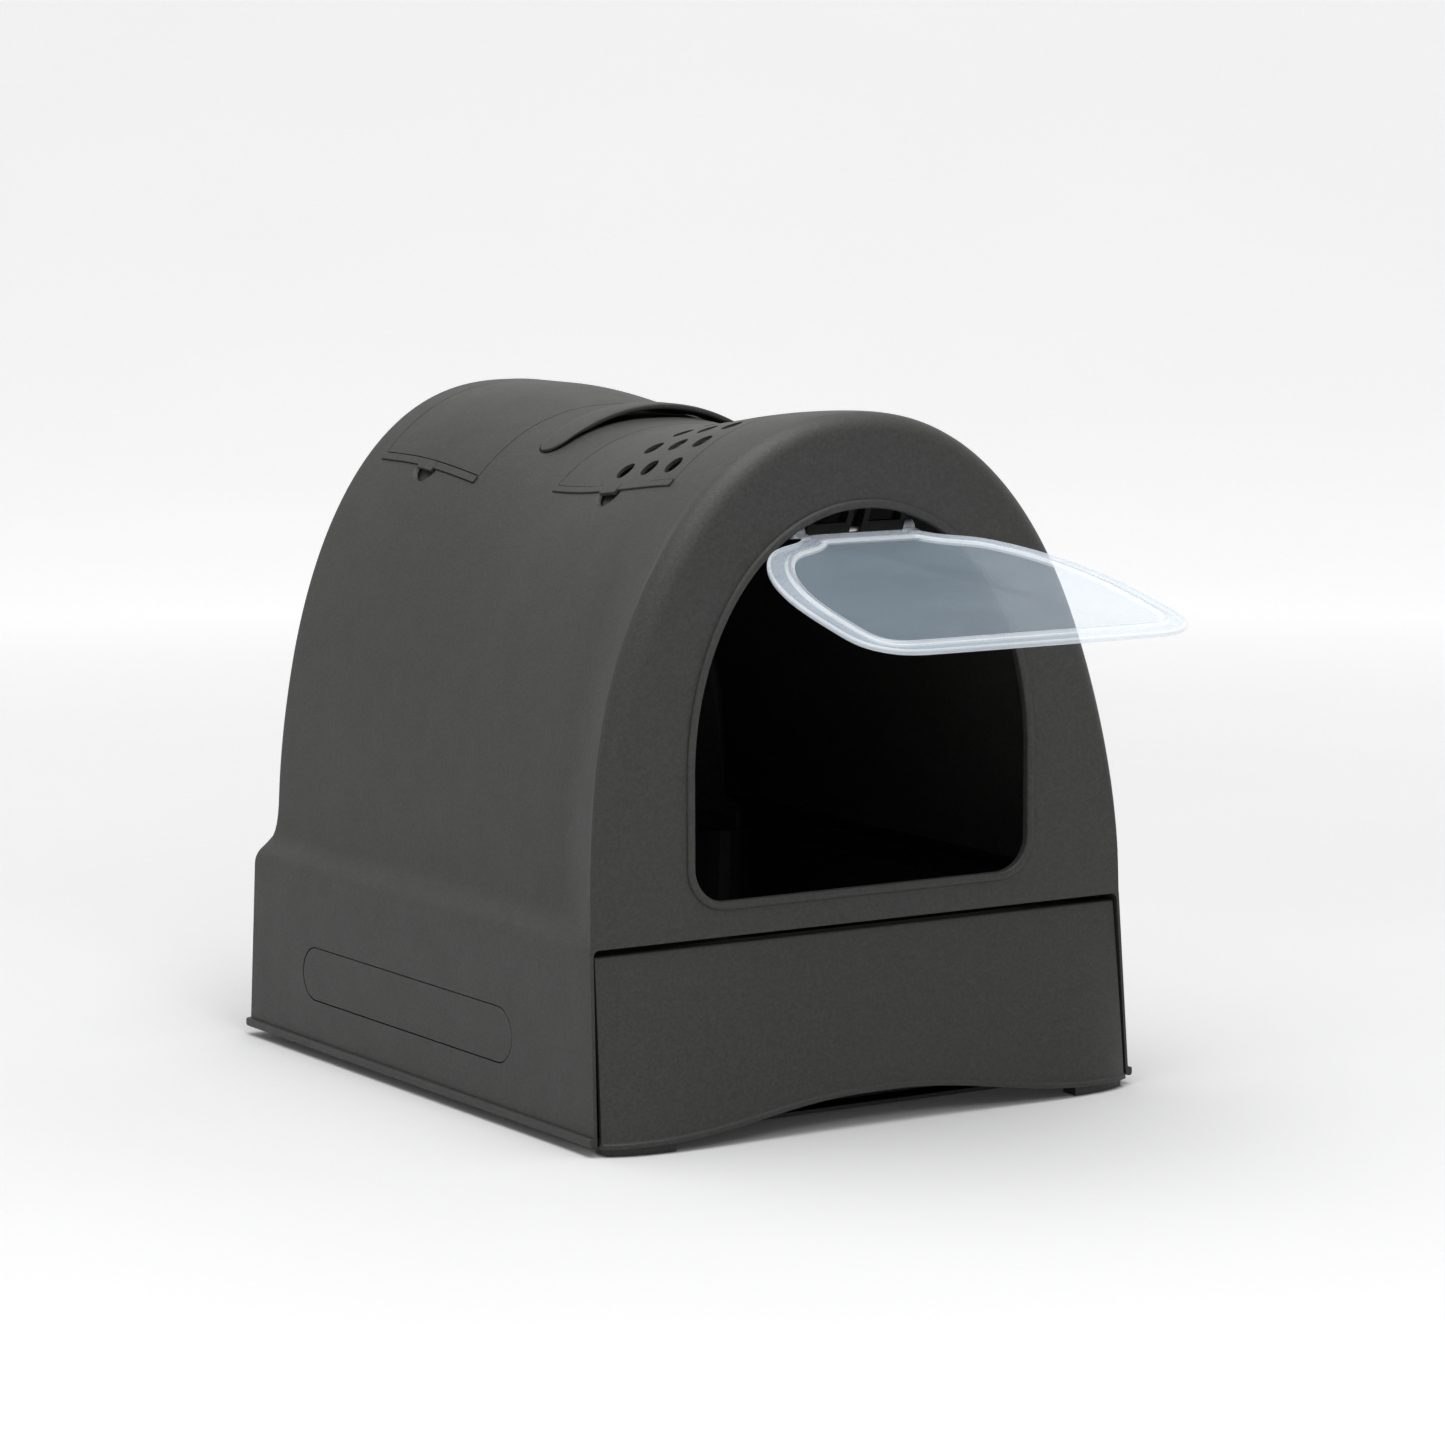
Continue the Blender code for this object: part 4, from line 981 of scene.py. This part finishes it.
# ---------------------------------------------------------------- making it
def finish_frame_nodes(dark, painted_shade):
    """The frame's own inner pieces keep their shape and get rounded edges and a full finish."""
    steel, rubber = drawn_steel("drawn_steel"), foot_rubber("foot_rubber_grain")
    pad = felt("carbon_felt_pad")
    finishes = {
        "base_tray": dark, "litter_pan": dark, "filter_cradle": dark, "storage_bin": dark,
        # the flap brackets get painted shade: a near-black copy of the dark plastic, for the shadow above
        # the flap inside the hood
        "flap_bracket_left": painted_shade, "flap_bracket_right": painted_shade,
        "drawer_glide_left": dark, "drawer_glide_right": dark, "carbon_filter": pad,
        "flap_hinge_rod": steel, "filter_lid_pin": steel, "storage_lid_pin": steel,
        "handle_screw_left": steel, "handle_screw_right": steel,
        "foot_front_left": rubber, "foot_front_right": rubber, "foot_rear_left": rubber,
        "foot_rear_right": rubber, "foot_centre": rubber,
    }
    widths = {"flap_hinge_rod": 0.0003, "filter_lid_pin": 0.0003, "storage_lid_pin": 0.0003}
    for name, finish in finishes.items():
        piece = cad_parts[name]
        paint([piece], finish)
        soften(piece, widths.get(name, 0.0007), 50, 2)


charcoal = moulded_plastic("charcoal_grained", (0.0236, 0.0237, 0.0220), (0.0262, 0.0263, 0.0245))
dark_tones = (0.0120, 0.0120, 0.0122), (0.0160, 0.0160, 0.0162)
dark = moulded_plastic("dark_moulded", *dark_tones, (0.45, 0.58), 0.4)
# painted shade: a near-black copy of the dark plastic for the flap brackets, standing for the shadow inside
# the hood above the flap
painted_shade_tones = (0.0030, 0.0030, 0.0031), (0.0042, 0.0042, 0.0043)
painted_shade = moulded_plastic("bracket_painted_shade", *painted_shade_tones, (0.60, 0.70), 0.4, 0.2)
milky = clear_plastic("milky_middle", (0.47, 0.58, 0.68), 0.18, 0.20)
milky_channel = clear_plastic("milky_channel", (0.60, 0.68, 0.76), 0.32, 0.22)
# the rim, ridge and lugs: whiter and less clear, partly the thicker milky plastic and partly a painted
# highlight along the flap's edges
milky_rim_and_highlight = clear_plastic("milky_rim_and_highlight", (0.80, 0.85, 0.90), 0.46, 0.22)

hood = make_hood()
outer = [hood, make_entry_bead(), make_lip(), make_ears(), make_strap(), make_drawer_front()]
outer += make_latches()
outer += make_lid("filter_lid_skin", FILTER_LID, "filter_cover", "filter_lid", True)
outer += make_lid("storage_lid_skin", STORAGE_LID, "storage_cover", "storage_lid", False)
paint(outer, charcoal)
flap, lugs = make_flap()
paint([flap, lugs], milky_rim_and_highlight)
tint_flap(flap, milky_channel, milky)
finish_frame_nodes(dark, painted_shade)

make_backdrop()
make_lights()
make_camera()
